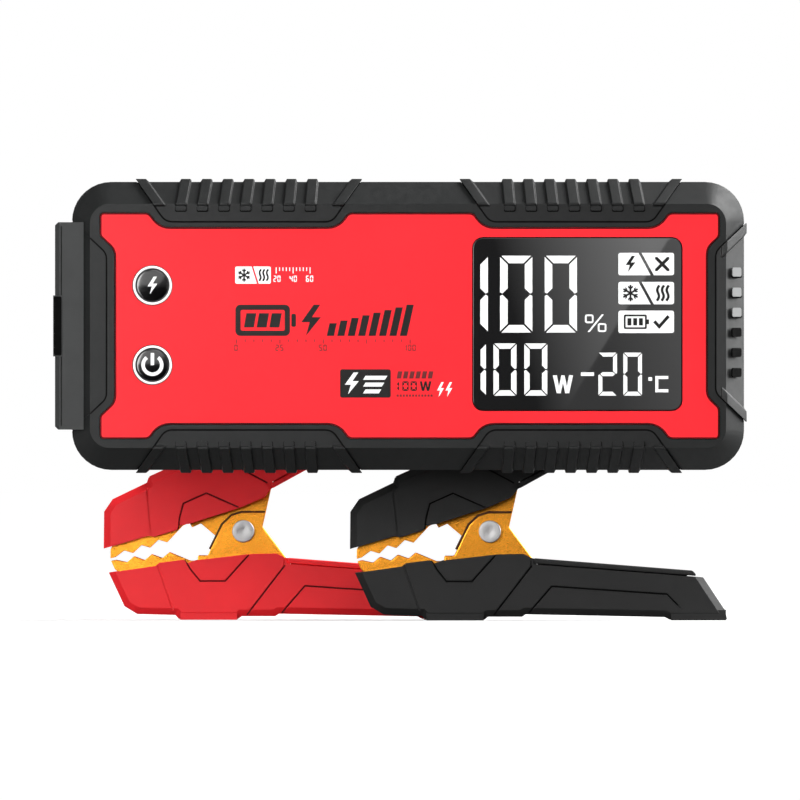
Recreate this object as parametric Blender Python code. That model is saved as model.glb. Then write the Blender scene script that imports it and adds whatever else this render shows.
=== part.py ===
"""Portable jump starter pack with its two battery clamps standing behind it.

The screen faces -Y and +Z is up.  Sizes are millimetres, and each mesh is scaled to
metres when its object is made.  A pack position is measured from the middle of the pack,
a clamp outline from the clamp's pivot, with x to the right and z up.
"""

import math

import bmesh
import bpy
from mathutils import Vector

MM = 0.001

# Fits
GAP = 0.3                    # between pieces that touch or run on each other
OVERCUT = 3.0                # how far a cutting shape passes the face that it opens

# Pack case
PACK_WIDTH = 222.3
PACK_HEIGHT = 95.3
PACK_DEPTH = 43.0
PACK_RAISE = 50.0            # underside of the pack above the floor
CORNER_RADIUS = 13.0
CHAMFER_SIDE = 6.0           # chamfer of the front and rear edges at the two ends
CHAMFER_TOP = 7.3            # and along the top and bottom
CHAMFER_DEPTH = 7.0          # how far every chamfer runs back
CASE_WALL = 2.0
BOSS_RADIUS = 4.0
POST_RADIUS = 2.5

# Grip pads, end bumper and port frame: bands that wrap the case edges
PAD_THICK = 1.8
GRIP_REACH = 13.1            # from the outer edge to the pad's inner edge
GRIP_SLANT = 0.71            # how fast a pad end runs inward
GRIP_FROM_LEFT = 21.75       # outer end of the left pads from the case's left end
GRIP_FROM_RIGHT = 21.15
GRIP_LENGTH_LEFT = 73.5
GRIP_LENGTH_RIGHT = 72.2
RIB_COUNT = 7
RIB_PITCH = 7.0
RIB_WIDTH = 3.1
RIB_PROUD = 1.0
RIB_DRAFT = 0.4
RIB_FOOT = 7.7               # a rib's foot below the outer edge
RIB_FAN = 0.0026             # lean of a rib, for each mm from the middle
TONGUE_ROUND = 4.0           # round of a band's inner corners on the two faces
TONGUE_STEPS = 3
END_RIB_WIDTH = 3.4
BUMPER_REACH = 9.3
BUMPER_SLANT = 0.95
BUMPER_HALF = 32.1
BUMPER_SHIFT = 1.2           # the bumper's middle above the pack's middle
BUMPER_PROUD = 0.9
FRAME_REACH = 11.3
FRAME_SLANT = 0.94
FRAME_HALF = 34.5

# Front panel and screen
PANEL_INSET_LEFT = 9.4
PANEL_INSET_RIGHT = 8.3
PANEL_INSET_Z = 10.4
PANEL_THICK = 1.3
PANEL_DROP = 0.4             # panel face below the rim
LIP_SIDE = 3.0               # rim between a side band and the panel
LIP_TOP = 2.1                # rim between a grip and the panel
SCREEN_FROM_RIGHT = 20.65    # right edge of the screen from the case's right end
SCREEN_WIDTH = 69.0
SCREEN_BELOW_GRIP = 3.35     # panel between the screen and the step round an upper grip
SCREEN_ABOVE_GRIP = 4.55     # and a lower one
SCREEN_RADIUS = 3.3
SCREEN_LEDGE = 3.0
LCD_THICK = 4.5

# Buttons
BUTTON_FROM_LEFT = 26.65     # middle of the buttons from the case's left end
BUTTON_Z = {"boost": 13.4, "power": -12.9}
BUTTON_RADIUS = 5.35
BUTTON_PROUD = 0.2
BUTTON_TRAVEL = 0.8
BUTTON_FLANGE = 1.3
RING_WIDTH = 0.8
SWITCH_SIZE = 6.0
SWITCH_THICK = 3.5
PLUNGER_RADIUS = 1.6
PLUNGER_LENGTH = 0.5

# Inside the case
BOARD_FROM_END = 14.15       # ends of the board from those of the case
BOARD_FROM_EDGE = 18.15
BOARD_THICK = 1.6
BOARD_DEPTH = 10.9           # front face of the board behind the rim face
CELL_COUNT = 4
CELL_LENGTH = 120.0
CELL_WIDTH = 64.0
CELL_FROM_RIGHT = 29.15      # the cells lie at the right, clear of the sockets' leads
SCREW_FROM_END = 12.65
SCREW_FROM_EDGE = 11.65
SCREW_RADIUS = 1.4
SCREW_HEAD_RADIUS = 2.9
SCREW_HEAD = 2.2
SCREW_SUNK = 1.0
SCREW_LENGTH = 30.0
SCREW_SLOT = 0.7

# Sockets: middle height, width in y, height in z, depth
SOCKETS = {
    "jump_socket": (18.0, 13.0, 24.0, 14.0),
    "usb_a_socket": (-4.0, 7.2, 14.6, 12.0),
    "usb_c_socket": (-17.0, 5.2, 6.6, 9.0),
    "dc_socket": (-26.4, 8.4, 7.6, 10.0),
}
JUMP_HOLE_RADIUS = 3.3
JUMP_HOLE_PITCH = 12.0
USB_A_SLOT = (4.6, 12.0)
USB_C_SLOT = (2.6, 4.0)
DC_HOLE_RADIUS = 2.4
SOCKET_DROP = 0.2

# Port cover on the left end
COVER_STAND = 5.6            # outer face beyond the case
COVER_WALL = 1.3
COVER_HALF_Y = 19.5
COVER_SHORT = 0.2            # ends of the cover inside those of the frame
COVER_BEVEL = 1.5
TAB_PROUD = 0.6
TAB_WIDTH = 3.0
TAB_HALF = 10.1
HINGE_OUT = 2.9              # pin axis off the rear chamfer
HINGE_ALONG = 5.9            # pin axis behind the start of that chamfer
HINGE_PIN_RADIUS = 1.0
KNUCKLE_RADIUS = 2.0
LUG_LENGTH = 6.0
LUG_FROM_END = 7.0           # outer end of a hinge lug from the frame's end

# Work lamp in the right end
LAMP_HALF_Y = 4.5
LAMP_HALF_Z = 8.0
LAMP_THICK = 3.6
LAMP_BOARD_MARGIN = 2.0
LAMP_BOARD_THICK = 1.6

# Clamps
CLAMP_HALF_WIDTH = 16.0
RED_CLAMP_X = -52.2          # pivots from the middle of the whole object
BLACK_CLAMP_X = 29.8
PIVOT_HEIGHT = 29.5
JAW_RISE = math.radians(12.15)   # the line between the jaws rises this much to the right
SHELL_WALL = 2.5
SHELL_CHAMFER = 2.2
SHELL_CHAMFER_Y = 1.8
LID_THICK = 1.7
LID_SIDE = 1.0               # lid edge inside the shell's side
LID_PLUG = 1.0               # how far the lid's plug drops between the shell's sides
LID_PLUG_END = 3.0           # the plug stops short of the lid's far end
LID_NOSE = 1.0               # the lid's far end is cut off at the corner
GROOVE_WIDTH = 0.7
GROOVE_DEPTH = 0.5
FOOT_HEIGHT = 3.5
FOOT_PROUD = 0.3             # feet below the rest of the lever's back
PLATE = 3.0                  # thickness of a jaw plate
TOOTH_COUNT = 3
TOOTH_PITCH = 5.9
TOOTH_FIRST = (-36.4, -8.4)
TOOTH_RISE = 0.7             # each tooth above the one before it
ROOT_BACK = 2.3              # a root lies this far before its tooth
ROOT_DROP = 2.0
JAW_FLOOR = -19.0            # underside of the jaw channel
JAW_WEB = -14.0              # upper face of its web
NOSE_WEB = JAW_WEB + 1.8     # and of the web between the teeth
EAR_FOOT = JAW_WEB + 1.0     # the upper lever's ears are narrow above this
EAR_END = 20.0
TAIL_DROP = 1.2              # tail plate below the web's face
TAIL_START = 16.0
TAIL_END = 56.0
PIN_RADIUS = 2.5
PIN_HEAD_RADIUS = 3.7
PIN_HEAD = 1.4
INLET_RADIUS = 3.6
SPRING_WIRE = 1.6
SPRING_TURNS = 4
SPRING_HALF = 5.1            # half the coil's length, wire middle to wire middle
SPRING_SEAT = 11.5           # where a spring leg bears on its web

# A lever in side view, from the pivot: its back from the nose to the cable end
SOLE = FOOT_PROUD - PIVOT_HEIGHT
LEVER_BACK = [
    (-44.7, -13.8), (-39.5, -25.0), (-35.2, -27.6), (-22.6, -27.9),
    (-21.4, SOLE), (-1.7, SOLE), (-0.5, -28.3), (10.7, -28.3),
    (11.9, -27.5), (57.9, -28.4), (59.6, SOLE), (78.8, SOLE),
    (78.0, -26.0), (70.9, -15.3),
]
FEET = ((-21.0, -2.0), (60.2, 78.4))
# and its open side, from the handle back to the nose
LID_LINE = ((14.6, -8.95), (68.4, -13.05))
LEVER_FACE = [
    (14.2, -8.9), (11.0, -7.4), (2.1, -7.6), (-15.3, -9.6), (-18.5, -10.5),
    (-19.9, -9.5), (-27.9, -10.5), (-29.3, -11.6),
]
# Panel lines pressed in the sides of a lever
GROOVES = (
    ((-19.4, -9.0), (-17.4, -12.8), (-14.3, -16.6), (-5.9, -16.6), (2.6, -7.0)),
    ((14.0, -8.0), (13.7, -11.7), (0.5, -28.8)),
    ((12.2, -27.9), (20.6, -18.2), (58.8, -20.8), (63.5, -25.5)),
    ((-28.8, -10.0), (-23.0, -27.0)),
)
JAW_NOSE = [(-44.0, -9.9), (-42.7, -12.7), (-41.9, -13.3), (-38.9, JAW_FLOOR)]
JAW_EAR = [
    (13.9, -8.6), (6.4, 1.4), (7.4, 6.2), (-0.3, 6.2), (-3.8, 5.1), (-6.8, 2.2),
    (-8.5, -1.2), (-11.8, -8.1), (-15.0, -8.1), (-15.2, -9.9), (-17.6, -9.9),
    (-20.3, -8.8),
]
JAW_TIP = (-42.3, -9.6)
JAW_STEP = -17.0             # the ears begin behind this x
JAW_CLEAR = 60.0             # past every point of a jaw

# Derived places.  The object's middle is the middle of its box, and the floor is z = 0.
PACK_X = (COVER_STAND + TAB_PROUD - BUMPER_PROUD) / 2
PACK_Z = PACK_RAISE + PACK_HEIGHT / 2
HALF_X = PACK_WIDTH / 2
HALF_Y = PACK_DEPTH / 2
HALF_Z = PACK_HEIGHT / 2
SHELL = PAD_THICK + GAP + CASE_WALL
GRIP_LEFT = (GRIP_FROM_LEFT - HALF_X, GRIP_FROM_LEFT + GRIP_LENGTH_LEFT - HALF_X)
GRIP_RIGHT = (HALF_X - GRIP_FROM_RIGHT - GRIP_LENGTH_RIGHT, HALF_X - GRIP_FROM_RIGHT)
SCREEN_TOP = HALF_Z - GRIP_REACH - LIP_TOP - SCREEN_BELOW_GRIP
SCREEN_BOTTOM = GRIP_REACH + LIP_TOP + SCREEN_ABOVE_GRIP - HALF_Z
SCREEN_X = HALF_X - SCREEN_FROM_RIGHT - SCREEN_WIDTH / 2
SCREEN_Z = (SCREEN_TOP + SCREEN_BOTTOM) / 2
BUTTON_X = BUTTON_FROM_LEFT - HALF_X
BOARD_HALF_X = HALF_X - BOARD_FROM_END
BOARD_HALF_Z = HALF_Z - BOARD_FROM_EDGE
CELL_X = HALF_X - CELL_FROM_RIGHT - CELL_LENGTH / 2
SCREW_X = HALF_X - SCREW_FROM_END
SCREW_Z = HALF_Z - SCREW_FROM_EDGE
COVER_HALF_Z = FRAME_HALF - COVER_SHORT
LUG_END = FRAME_HALF - LUG_FROM_END
OBJECT_DEPTH = PACK_DEPTH + 2 * RIB_PROUD + 2 * (GAP + 2 * CLAMP_HALF_WIDTH)
PACK_Y = RIB_PROUD + HALF_Y - OBJECT_DEPTH / 2
BLACK_CLAMP_Y = PACK_Y + HALF_Y + RIB_PROUD + GAP + CLAMP_HALF_WIDTH
RED_CLAMP_Y = BLACK_CLAMP_Y + GAP + 2 * CLAMP_HALF_WIDTH
RIM_Y = -HALF_Y
PANEL_Y = RIM_Y + PANEL_DROP
PANEL_BACK_Y = PANEL_Y + PANEL_THICK
POCKET_Y = PANEL_BACK_Y + GAP
FRONT_WALL_Y = POCKET_Y + CASE_WALL
BOARD_Y = RIM_Y + BOARD_DEPTH
REAR_WALL_Y = HALF_Y - SHELL
PACK = Vector((PACK_X, PACK_Y, PACK_Z))
EAR_OUT = CLAMP_HALF_WIDTH - SHELL_WALL - GAP
EAR_IN = EAR_OUT - PLATE
INNER_EAR_OUT = EAR_IN - GAP
INNER_EAR_IN = INNER_EAR_OUT - PLATE


# ---------------------------------------------------------------- plane outlines


def pairs(points):
    return [Vector(point) for point in points]


def crossing(line_a, line_b):
    """Where two lines meet, each a (point, direction); the second's point if they are parallel."""
    point_a, along_a = line_a
    point_b, along_b = line_b
    slope = along_a.x * along_b.y - along_a.y * along_b.x
    if abs(slope) < 1e-6:
        return point_b.copy()
    apart = point_b - point_a
    return point_a + along_a * ((apart.x * along_b.y - apart.y * along_b.x) / slope)


def shifted_line(start, end, amount):
    """The line through two points, moved to its left by the amount."""
    along = (end - start).normalized()
    return start + Vector((-along.y, along.x)) * amount, along


def inset(outline, amounts):
    """A counterclockwise outline with each edge moved inward by its own amount."""
    count = len(outline)
    lines = [
        shifted_line(outline[i], outline[(i + 1) % count], amounts[i]) for i in range(count)
    ]
    return [crossing(lines[i - 1], lines[i]) for i in range(count)]


def offset_path(path, amount):
    """An open path moved to its left by the amount."""
    lines = [shifted_line(a, b, amount) for a, b in zip(path, path[1:])]
    last_point = lines[-1][0] + (path[-1] - path[-2])
    middle = [crossing(a, b) for a, b in zip(lines, lines[1:])]
    return [lines[0][0], *middle, last_point]


def filleted(corners, steps=4):
    """An outline through (x, z, radius) corners, each rounded with its radius."""
    outline = []
    for i, (x, z, radius) in enumerate(corners):
        here = Vector((x, z))
        back = (Vector(corners[i - 1][:2]) - here).normalized()
        ahead = (Vector(corners[(i + 1) % len(corners)][:2]) - here).normalized()
        half = back.angle(ahead) / 2
        centre = here + (back + ahead).normalized() * radius / math.sin(half)
        start = here + back * radius / math.tan(half) - centre
        end = here + ahead * radius / math.tan(half) - centre
        turn = math.atan2(start.x * end.y - start.y * end.x, start.dot(end))
        angle = math.atan2(start.y, start.x)
        for k in range(steps + 1):
            at = angle + turn * k / steps
            outline.append(centre + Vector((math.cos(at), math.sin(at))) * radius)
    return outline


def rounded_rectangle(half_x, half_z, radius, steps=5, centre=(0.0, 0.0)):
    x, z = centre
    corners = [(-1, -1), (1, -1), (1, 1), (-1, 1)]
    return filleted([(x + i * half_x, z + j * half_z, radius) for i, j in corners], steps)


def circle(radius, steps, centre=(0.0, 0.0)):
    turns = [2 * math.pi * i / steps for i in range(steps)]
    return [Vector(centre) + Vector((math.cos(a), math.sin(a))) * radius for a in turns]


# ---------------------------------------------------------------- solids


def loft(mesh, rings, closed=False):
    """Adds the solid through rings of points, flat at both ends, or joined up if closed."""
    loops = [[mesh.verts.new(point) for point in ring] for ring in rings]
    joints = list(zip(loops, loops[1:]))
    faces = []
    if closed:
        joints.append((loops[-1], loops[0]))
    else:
        faces = [mesh.faces.new(loops[0]), mesh.faces.new(loops[-1])]
    for near, far in joints:
        for i in range(len(near)):
            j = (i + 1) % len(near)
            faces.append(mesh.faces.new((near[i], near[j], far[j], far[i])))
    bmesh.ops.recalc_face_normals(mesh, faces=faces)
    mesh.normal_update()
    volume = sum(f.calc_center_median().dot(f.normal) * f.calc_area() for f in faces)
    if volume < 0.0:
        bmesh.ops.reverse_faces(mesh, faces=faces)


def along_y(outline, y, centre):
    """The outline, drawn in x and z, standing at y and moved by the centre."""
    return [centre + Vector((point.x, y, point.y)) for point in outline]


def prism(mesh, outline, y_from, y_to, centre=PACK):
    loft(mesh, [along_y(outline, y, centre) for y in (y_from, y_to)])


def box(mesh, x_span, y_span, z_span, centre=PACK):
    (x0, x1), (z0, z1) = x_span, z_span
    prism(mesh, pairs([(x0, z0), (x1, z0), (x1, z1), (x0, z1)]), *y_span, centre)


def upright(mesh, outline, z_from, z_to, centre=PACK):
    """A prism whose outline is drawn in x and y."""
    rings = [[centre + Vector((p.x, p.y, z)) for p in outline] for z in (z_from, z_to)]
    loft(mesh, rings)


def sideways(mesh, outline, x_from, x_to, centre=PACK):
    """A prism whose outline is drawn in y and z."""
    rings = [[centre + Vector((x, p.x, p.y)) for p in outline] for x in (x_from, x_to)]
    loft(mesh, rings)


def turned(mesh, profile, centre, steps=24, closed=False):
    """A solid turned about y, from (radius, y) pairs; a closed profile makes a ring."""
    rings = [along_y(circle(radius, steps), y, centre) for radius, y in profile]
    loft(mesh, rings, closed)


# ---------------------------------------------------------------- objects


def material(name, colour, roughness, metallic=0.0):
    made = bpy.data.materials.new(name)
    made.use_nodes = True
    shader = made.node_tree.nodes["Principled BSDF"]
    shader.inputs["Base Color"].default_value = (*colour, 1.0)
    shader.inputs["Roughness"].default_value = roughness
    shader.inputs["Metallic"].default_value = metallic
    made.diffuse_color = (*colour, 1.0)
    return made


def add_object(name, mesh, origin):
    """Makes an object of a bmesh in millimetres, with its origin at the given place."""
    bmesh.ops.translate(mesh, verts=mesh.verts, vec=-Vector(origin))
    bmesh.ops.scale(mesh, verts=mesh.verts, vec=(MM, MM, MM))
    data = bpy.data.meshes.new(name)
    mesh.to_mesh(data)
    mesh.free()
    made = bpy.data.objects.new(name, data)
    made.location = Vector(origin) * MM
    bpy.context.scene.collection.objects.link(made)
    return made


def piece(name, mesh, finish, origin=PACK):
    """A visible sub-part, smooth except across sharp edges."""
    made = add_object(name, mesh, origin)
    made.data.materials.append(finish)
    made.data.shade_smooth()
    made.data.set_sharp_from_angle(angle=math.radians(30))
    return made


def helper(name, mesh):
    """A shape that only cuts or joins others."""
    made = add_object(name, mesh, (0.0, 0.0, 0.0))
    made.hide_render = True
    made.display_type = "WIRE"
    return made


def combine(target, operation, tool):
    step = target.modifiers.new(f"{operation.lower()} {tool.name}", "BOOLEAN")
    step.operation = operation
    step.solver = "EXACT"
    step.object = tool


def cut(target, name, mesh):
    combine(target, "DIFFERENCE", helper(f"{name}_cutter", mesh))


def join(target, name, mesh):
    combine(target, "UNION", helper(f"{name}_block", mesh))


# ---------------------------------------------------------------- bands round the case edges


class Band:
    """A piece that wraps one edge of the case, from the front face round to the rear one."""

    def __init__(self, side, span, reach, slant, proud):
        self.side = side
        self.span = span
        self.reach = reach
        self.slant = slant
        self.proud = proud
        self.chamfer = CHAMFER_TOP if side in ("top", "bottom") else CHAMFER_SIDE
        self.lean = math.atan(slant)
        self.tangent = TONGUE_ROUND * math.tan((math.pi / 2 - self.lean) / 2)
        shallow = reach - self.tangent * math.cos(self.lean)
        self.foot = min(RIB_FOOT, shallow - 2 * RIB_DRAFT)

    def place(self, u, y, out):
        """The point u along the edge, at y, and out beyond the case's outermost face."""
        if self.side == "top":
            return PACK + Vector((u, y, HALF_Z + out))
        if self.side == "bottom":
            return PACK + Vector((u, y, -HALF_Z - out))
        if self.side == "right":
            return PACK + Vector((HALF_X + out, y, u))
        return PACK + Vector((-HALF_X - out, y, u))

    def section(self, reach, proud, thick):
        """(y, out) points round the wrapped edge: the outer face, then the inner one."""
        flat = HALF_Y - CHAMFER_DEPTH
        half = [
            (-HALF_Y, -reach), (-HALF_Y, -self.foot - RIB_DRAFT), (-HALF_Y, -self.foot),
            (-HALF_Y, -self.chamfer), (-flat, 0.0),
        ]
        path = pairs(half + [(-y, out) for y, out in reversed(half)])
        base = offset_path(path, 0.0)
        raised = offset_path(path, proud)
        ends = (0, 1, len(path) - 2, len(path) - 1)
        outer = [base[i] if i in ends and proud <= self.proud else raised[i]
                 for i in range(len(path))]
        plain = [path[i] for i in (0, 3, 4, 5, 6, 9)]
        return outer + offset_path(plain, -thick)[::-1]

    def ring(self, station, thick):
        top, lean, inner, proud, reach = station
        points = []
        for y, out in self.section(reach, proud, thick):
            u = top - lean * out
            if -out > self.foot:
                share = (-out - self.foot) / (reach - self.foot)
                u = (1 - share) * (top + lean * self.foot) + share * inner
            points.append(self.place(u, y, out))
        return points

    def end_station(self, end, inward, proud, reach):
        """A slanting cut across the band, this far along the edge from end 0 or 1."""
        sign = 1 if end == 0 else -1
        top = self.span[end] + sign * inward
        return (top, sign * self.slant, top + sign * self.slant * reach, proud, reach)

    def round_stations(self, end, grow, proud):
        """Cuts through the rounded inner corner at one end, the outermost first."""
        reach, radius = self.reach + grow, TONGUE_ROUND + grow
        spread = grow * math.hypot(1.0, self.slant)
        run = radius / TONGUE_ROUND * self.tangent
        across = self.slant * reach - run * math.sin(self.lean) + radius * math.cos(self.lean)
        depth = reach - run * math.cos(self.lean) - radius * math.sin(self.lean)
        cuts = []
        for k in range(TONGUE_STEPS + 1):
            angle = self.lean + (math.pi / 2 - self.lean) * k / TONGUE_STEPS
            deep = depth + radius * math.sin(angle)
            inward = across - radius * math.cos(angle) - self.slant * deep - spread
            cuts.append(self.end_station(end, inward, proud, deep))
        return cuts

    def ribbed_stations(self, rib_tops):
        """Cuts from one slanting end to the other, raised over the end ribs and each rib."""
        raised, fallen = END_RIB_WIDTH, END_RIB_WIDTH + RIB_DRAFT
        near = self.round_stations(0, 0.0, self.proud)
        near += [self.end_station(0, raised, self.proud, self.reach),
                 self.end_station(0, fallen, 0.0, self.reach)]
        far = [self.end_station(1, fallen, 0.0, self.reach),
               self.end_station(1, raised, self.proud, self.reach)]
        far += self.round_stations(1, 0.0, self.proud)[::-1]
        first, last = near[-1], far[0]
        ribs = []
        for top in rib_tops:
            half = RIB_WIDTH / 2
            for move, proud in ((-half - RIB_DRAFT, 0.0), (-half, self.proud),
                                (half, self.proud), (half + RIB_DRAFT, 0.0)):
                share = (top + move - first[0]) / (last[0] - first[0])
                inner = first[2] + share * (last[2] - first[2])
                ribs.append((top + move, RIB_FAN * top, inner, proud, self.reach))
        return near + ribs + far

    def plain_stations(self, grow, proud):
        return self.round_stations(0, grow, proud) + self.round_stations(1, grow, proud)[::-1]

    def solid(self, rib_tops=()):
        mesh = bmesh.new()
        cuts = self.ribbed_stations(rib_tops) if self.proud else self.plain_stations(0.0, 0.0)
        loft(mesh, [self.ring(station, PAD_THICK) for station in cuts])
        return mesh

    def recess(self):
        """The seat that the case gives this band, with the running gap all round."""
        mesh = bmesh.new()
        cuts = self.plain_stations(GAP, OVERCUT)
        loft(mesh, [self.ring(station, PAD_THICK + GAP) for station in cuts])
        return mesh


def grip_bands():
    bands = {}
    for side in ("top", "bottom"):
        for hand, span in (("left", GRIP_LEFT), ("right", GRIP_RIGHT)):
            bands[f"grip_{side}_{hand}"] = Band(side, span, GRIP_REACH, GRIP_SLANT, RIB_PROUD)
    return bands


def bumper_band():
    span = (BUMPER_SHIFT - BUMPER_HALF, BUMPER_SHIFT + BUMPER_HALF)
    return Band("right", span, BUMPER_REACH, BUMPER_SLANT, BUMPER_PROUD)


def frame_band():
    return Band("left", (-FRAME_HALF, FRAME_HALF), FRAME_REACH, FRAME_SLANT, 0.0)


# ---------------------------------------------------------------- case


def case_outline(inset_x, inset_z):
    radius = max(CORNER_RADIUS - (inset_x + inset_z) / 2, 1.0)
    return rounded_rectangle(HALF_X - inset_x, HALF_Z - inset_z, radius, 9)


def case_half(y_face, y_seam):
    """Outer form of the front or the rear half: a chamfer, then straight sides to the seam."""
    mesh = bmesh.new()
    y_side = y_face - math.copysign(CHAMFER_DEPTH, y_face)
    loft(mesh, [
        along_y(case_outline(CHAMFER_SIDE, CHAMFER_TOP), y_face, PACK),
        along_y(case_outline(0.0, 0.0), y_side, PACK),
        along_y(case_outline(0.0, 0.0), y_seam, PACK),
    ])
    return mesh


def case_cavity(y_wall, y_open):
    mesh = bmesh.new()
    y_side = y_wall - math.copysign(CHAMFER_DEPTH, y_wall)
    tight = case_outline(CHAMFER_SIDE + SHELL, CHAMFER_TOP + SHELL)
    wide = case_outline(SHELL, SHELL)
    loft(mesh, [
        along_y(tight, y_wall, PACK),
        along_y(wide, y_side, PACK),
        along_y(wide, y_open, PACK),
    ])
    return mesh


def screw_places():
    return [(i * SCREW_X, j * SCREW_Z) for j in (1, -1) for i in (-1, 1)]


def panel_notches(band, edge, sign, lip):
    """Corners where the panel steps round a top or bottom grip, left to right."""
    spread = LIP_SIDE * math.hypot(1.0, band.slant)
    floor = band.reach + lip
    inner = [
        (band.span[0] + band.slant * edge - spread, edge, 2.4),
        (band.span[0] + band.slant * floor - spread, floor, 7.0),
        (band.span[1] - band.slant * floor + spread, floor, 7.0),
        (band.span[1] - band.slant * edge + spread, edge, 2.4),
    ]
    return [(u, sign * (HALF_Z - depth), radius) for u, depth, radius in inner]


def side_notch(band, edge, sign):
    """Corners where the panel steps round a band on the left or right end, bottom to top."""
    spread = LIP_SIDE * math.hypot(1.0, band.slant)
    floor = band.reach + LIP_SIDE
    inner = [
        (band.span[0] + band.slant * edge - spread, edge, 2.0),
        (band.span[0] + band.slant * floor - spread, floor, 5.0),
        (band.span[1] - band.slant * floor + spread, floor, 5.0),
        (band.span[1] - band.slant * edge + spread, edge, 2.0),
    ]
    return [(sign * (HALF_X - depth), u, radius) for u, depth, radius in inner]


def panel_outline():
    """The red panel: a rectangle that steps in round the four grips and the two end bands."""
    grips = grip_bands()
    bottom, top = [], []
    for hand in ("left", "right"):
        bottom += panel_notches(grips[f"grip_bottom_{hand}"], PANEL_INSET_Z, -1, LIP_TOP)
        top += panel_notches(grips[f"grip_top_{hand}"], PANEL_INSET_Z, 1, LIP_TOP)
    x_left, x_right = PANEL_INSET_LEFT - HALF_X, HALF_X - PANEL_INSET_RIGHT
    z_edge = HALF_Z - PANEL_INSET_Z
    corners = [(x_left, -z_edge, 1.2), *bottom, (x_right, -z_edge, 1.2)]
    corners += side_notch(bumper_band(), PANEL_INSET_RIGHT, 1)
    corners += [(x_right, z_edge, 1.2), *reversed(top), (x_left, z_edge, 1.2)]
    corners += reversed(side_notch(frame_band(), PANEL_INSET_LEFT, -1))
    return filleted(corners, steps=5)


def screen_outline(grow, radius):
    half_x, half_z = SCREEN_WIDTH / 2, (SCREEN_TOP - SCREEN_BOTTOM) / 2
    return rounded_rectangle(half_x + grow, half_z + grow, radius, 4, (SCREEN_X, SCREEN_Z))


def button_centre(name):
    return PACK + Vector((BUTTON_X, 0.0, BUTTON_Z[name]))


def socket_block(mesh, name, grow, x_from, x_to):
    z, width, height, _ = SOCKETS[name]
    y_span = (-width / 2 - grow, width / 2 + grow)
    box(mesh, (x_from, x_to), y_span, (z - height / 2 - grow, z + height / 2 + grow))


def case_recesses(bands):
    """Cutters shared by the two halves: the seats of the wrapped bands."""
    return [helper(f"{name}_seat", band.recess()) for name, band in bands.items()]


def end_openings(mesh):
    """Openings in both ends of the case: the sockets on the left, the lamp on the right."""
    for name in SOCKETS:
        socket_block(mesh, name, GAP, -HALF_X - OVERCUT, -HALF_X + SHELL + OVERCUT)
    y_half, z_half = LAMP_HALF_Y + GAP, LAMP_HALF_Z + GAP
    x_span = (HALF_X - SHELL - OVERCUT, HALF_X + OVERCUT)
    box(mesh, x_span, (-y_half, y_half), (BUMPER_SHIFT - z_half, BUMPER_SHIFT + z_half))


def front_housing(finish, seats):
    made = piece("front_housing", case_half(RIM_Y, -GAP / 2), finish)
    cut(made, "front_cavity", case_cavity(FRONT_WALL_Y, OVERCUT))
    posts = bmesh.new()
    for x, z in screw_places():
        prism(posts, circle(BOSS_RADIUS, 16, (x, z)), FRONT_WALL_Y - GAP, -GAP / 2)
    for x in (-BOARD_HALF_X + POST_RADIUS, BOARD_HALF_X - POST_RADIUS):
        for z in (-BOARD_HALF_Z + POST_RADIUS, BOARD_HALF_Z - POST_RADIUS):
            prism(posts, circle(POST_RADIUS, 12, (x, z)), FRONT_WALL_Y - GAP, BOARD_Y - GAP)
    join(made, "front_posts", posts)
    for seat in seats:
        combine(made, "DIFFERENCE", seat)
    pocket = bmesh.new()
    outline = panel_outline()
    prism(pocket, inset(outline, [-GAP] * len(outline)), RIM_Y - OVERCUT, POCKET_Y)
    cut(made, "panel_pocket", pocket)
    openings = bmesh.new()
    window = screen_outline(-SCREEN_LEDGE, SCREEN_RADIUS)
    prism(openings, window, RIM_Y - OVERCUT, FRONT_WALL_Y + OVERCUT)
    for name in BUTTON_Z:
        hole = circle(BUTTON_RADIUS + GAP, 24)
        prism(openings, hole, RIM_Y - OVERCUT, FRONT_WALL_Y + OVERCUT, button_centre(name))
    for x, z in screw_places():
        hole = circle(SCREW_RADIUS + GAP, 12, (x, z))
        prism(openings, hole, HALF_Y - SCREW_SUNK - SCREW_LENGTH - GAP, OVERCUT)
    end_openings(openings)
    cut(made, "front_openings", openings)


def rear_housing(finish, seats):
    made = piece("rear_housing", case_half(HALF_Y, GAP / 2), finish)
    cut(made, "rear_cavity", case_cavity(REAR_WALL_Y, -OVERCUT))
    bosses = bmesh.new()
    for x, z in screw_places():
        prism(bosses, circle(BOSS_RADIUS, 16, (x, z)), GAP / 2, REAR_WALL_Y + GAP)
    join(made, "rear_bosses", bosses)
    for seat in seats:
        combine(made, "DIFFERENCE", seat)
    openings = bmesh.new()
    shoulder = HALF_Y - SCREW_SUNK - SCREW_HEAD - GAP
    for x, z in screw_places():
        centre = PACK + Vector((x, 0.0, z))
        narrow, wide = SCREW_RADIUS + GAP, SCREW_HEAD_RADIUS + GAP
        profile = [(narrow, -OVERCUT), (narrow, shoulder), (wide, shoulder),
                   (wide, HALF_Y + OVERCUT)]
        turned(openings, profile, centre, 16)
    end_openings(openings)
    cut(made, "rear_openings", openings)


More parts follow.
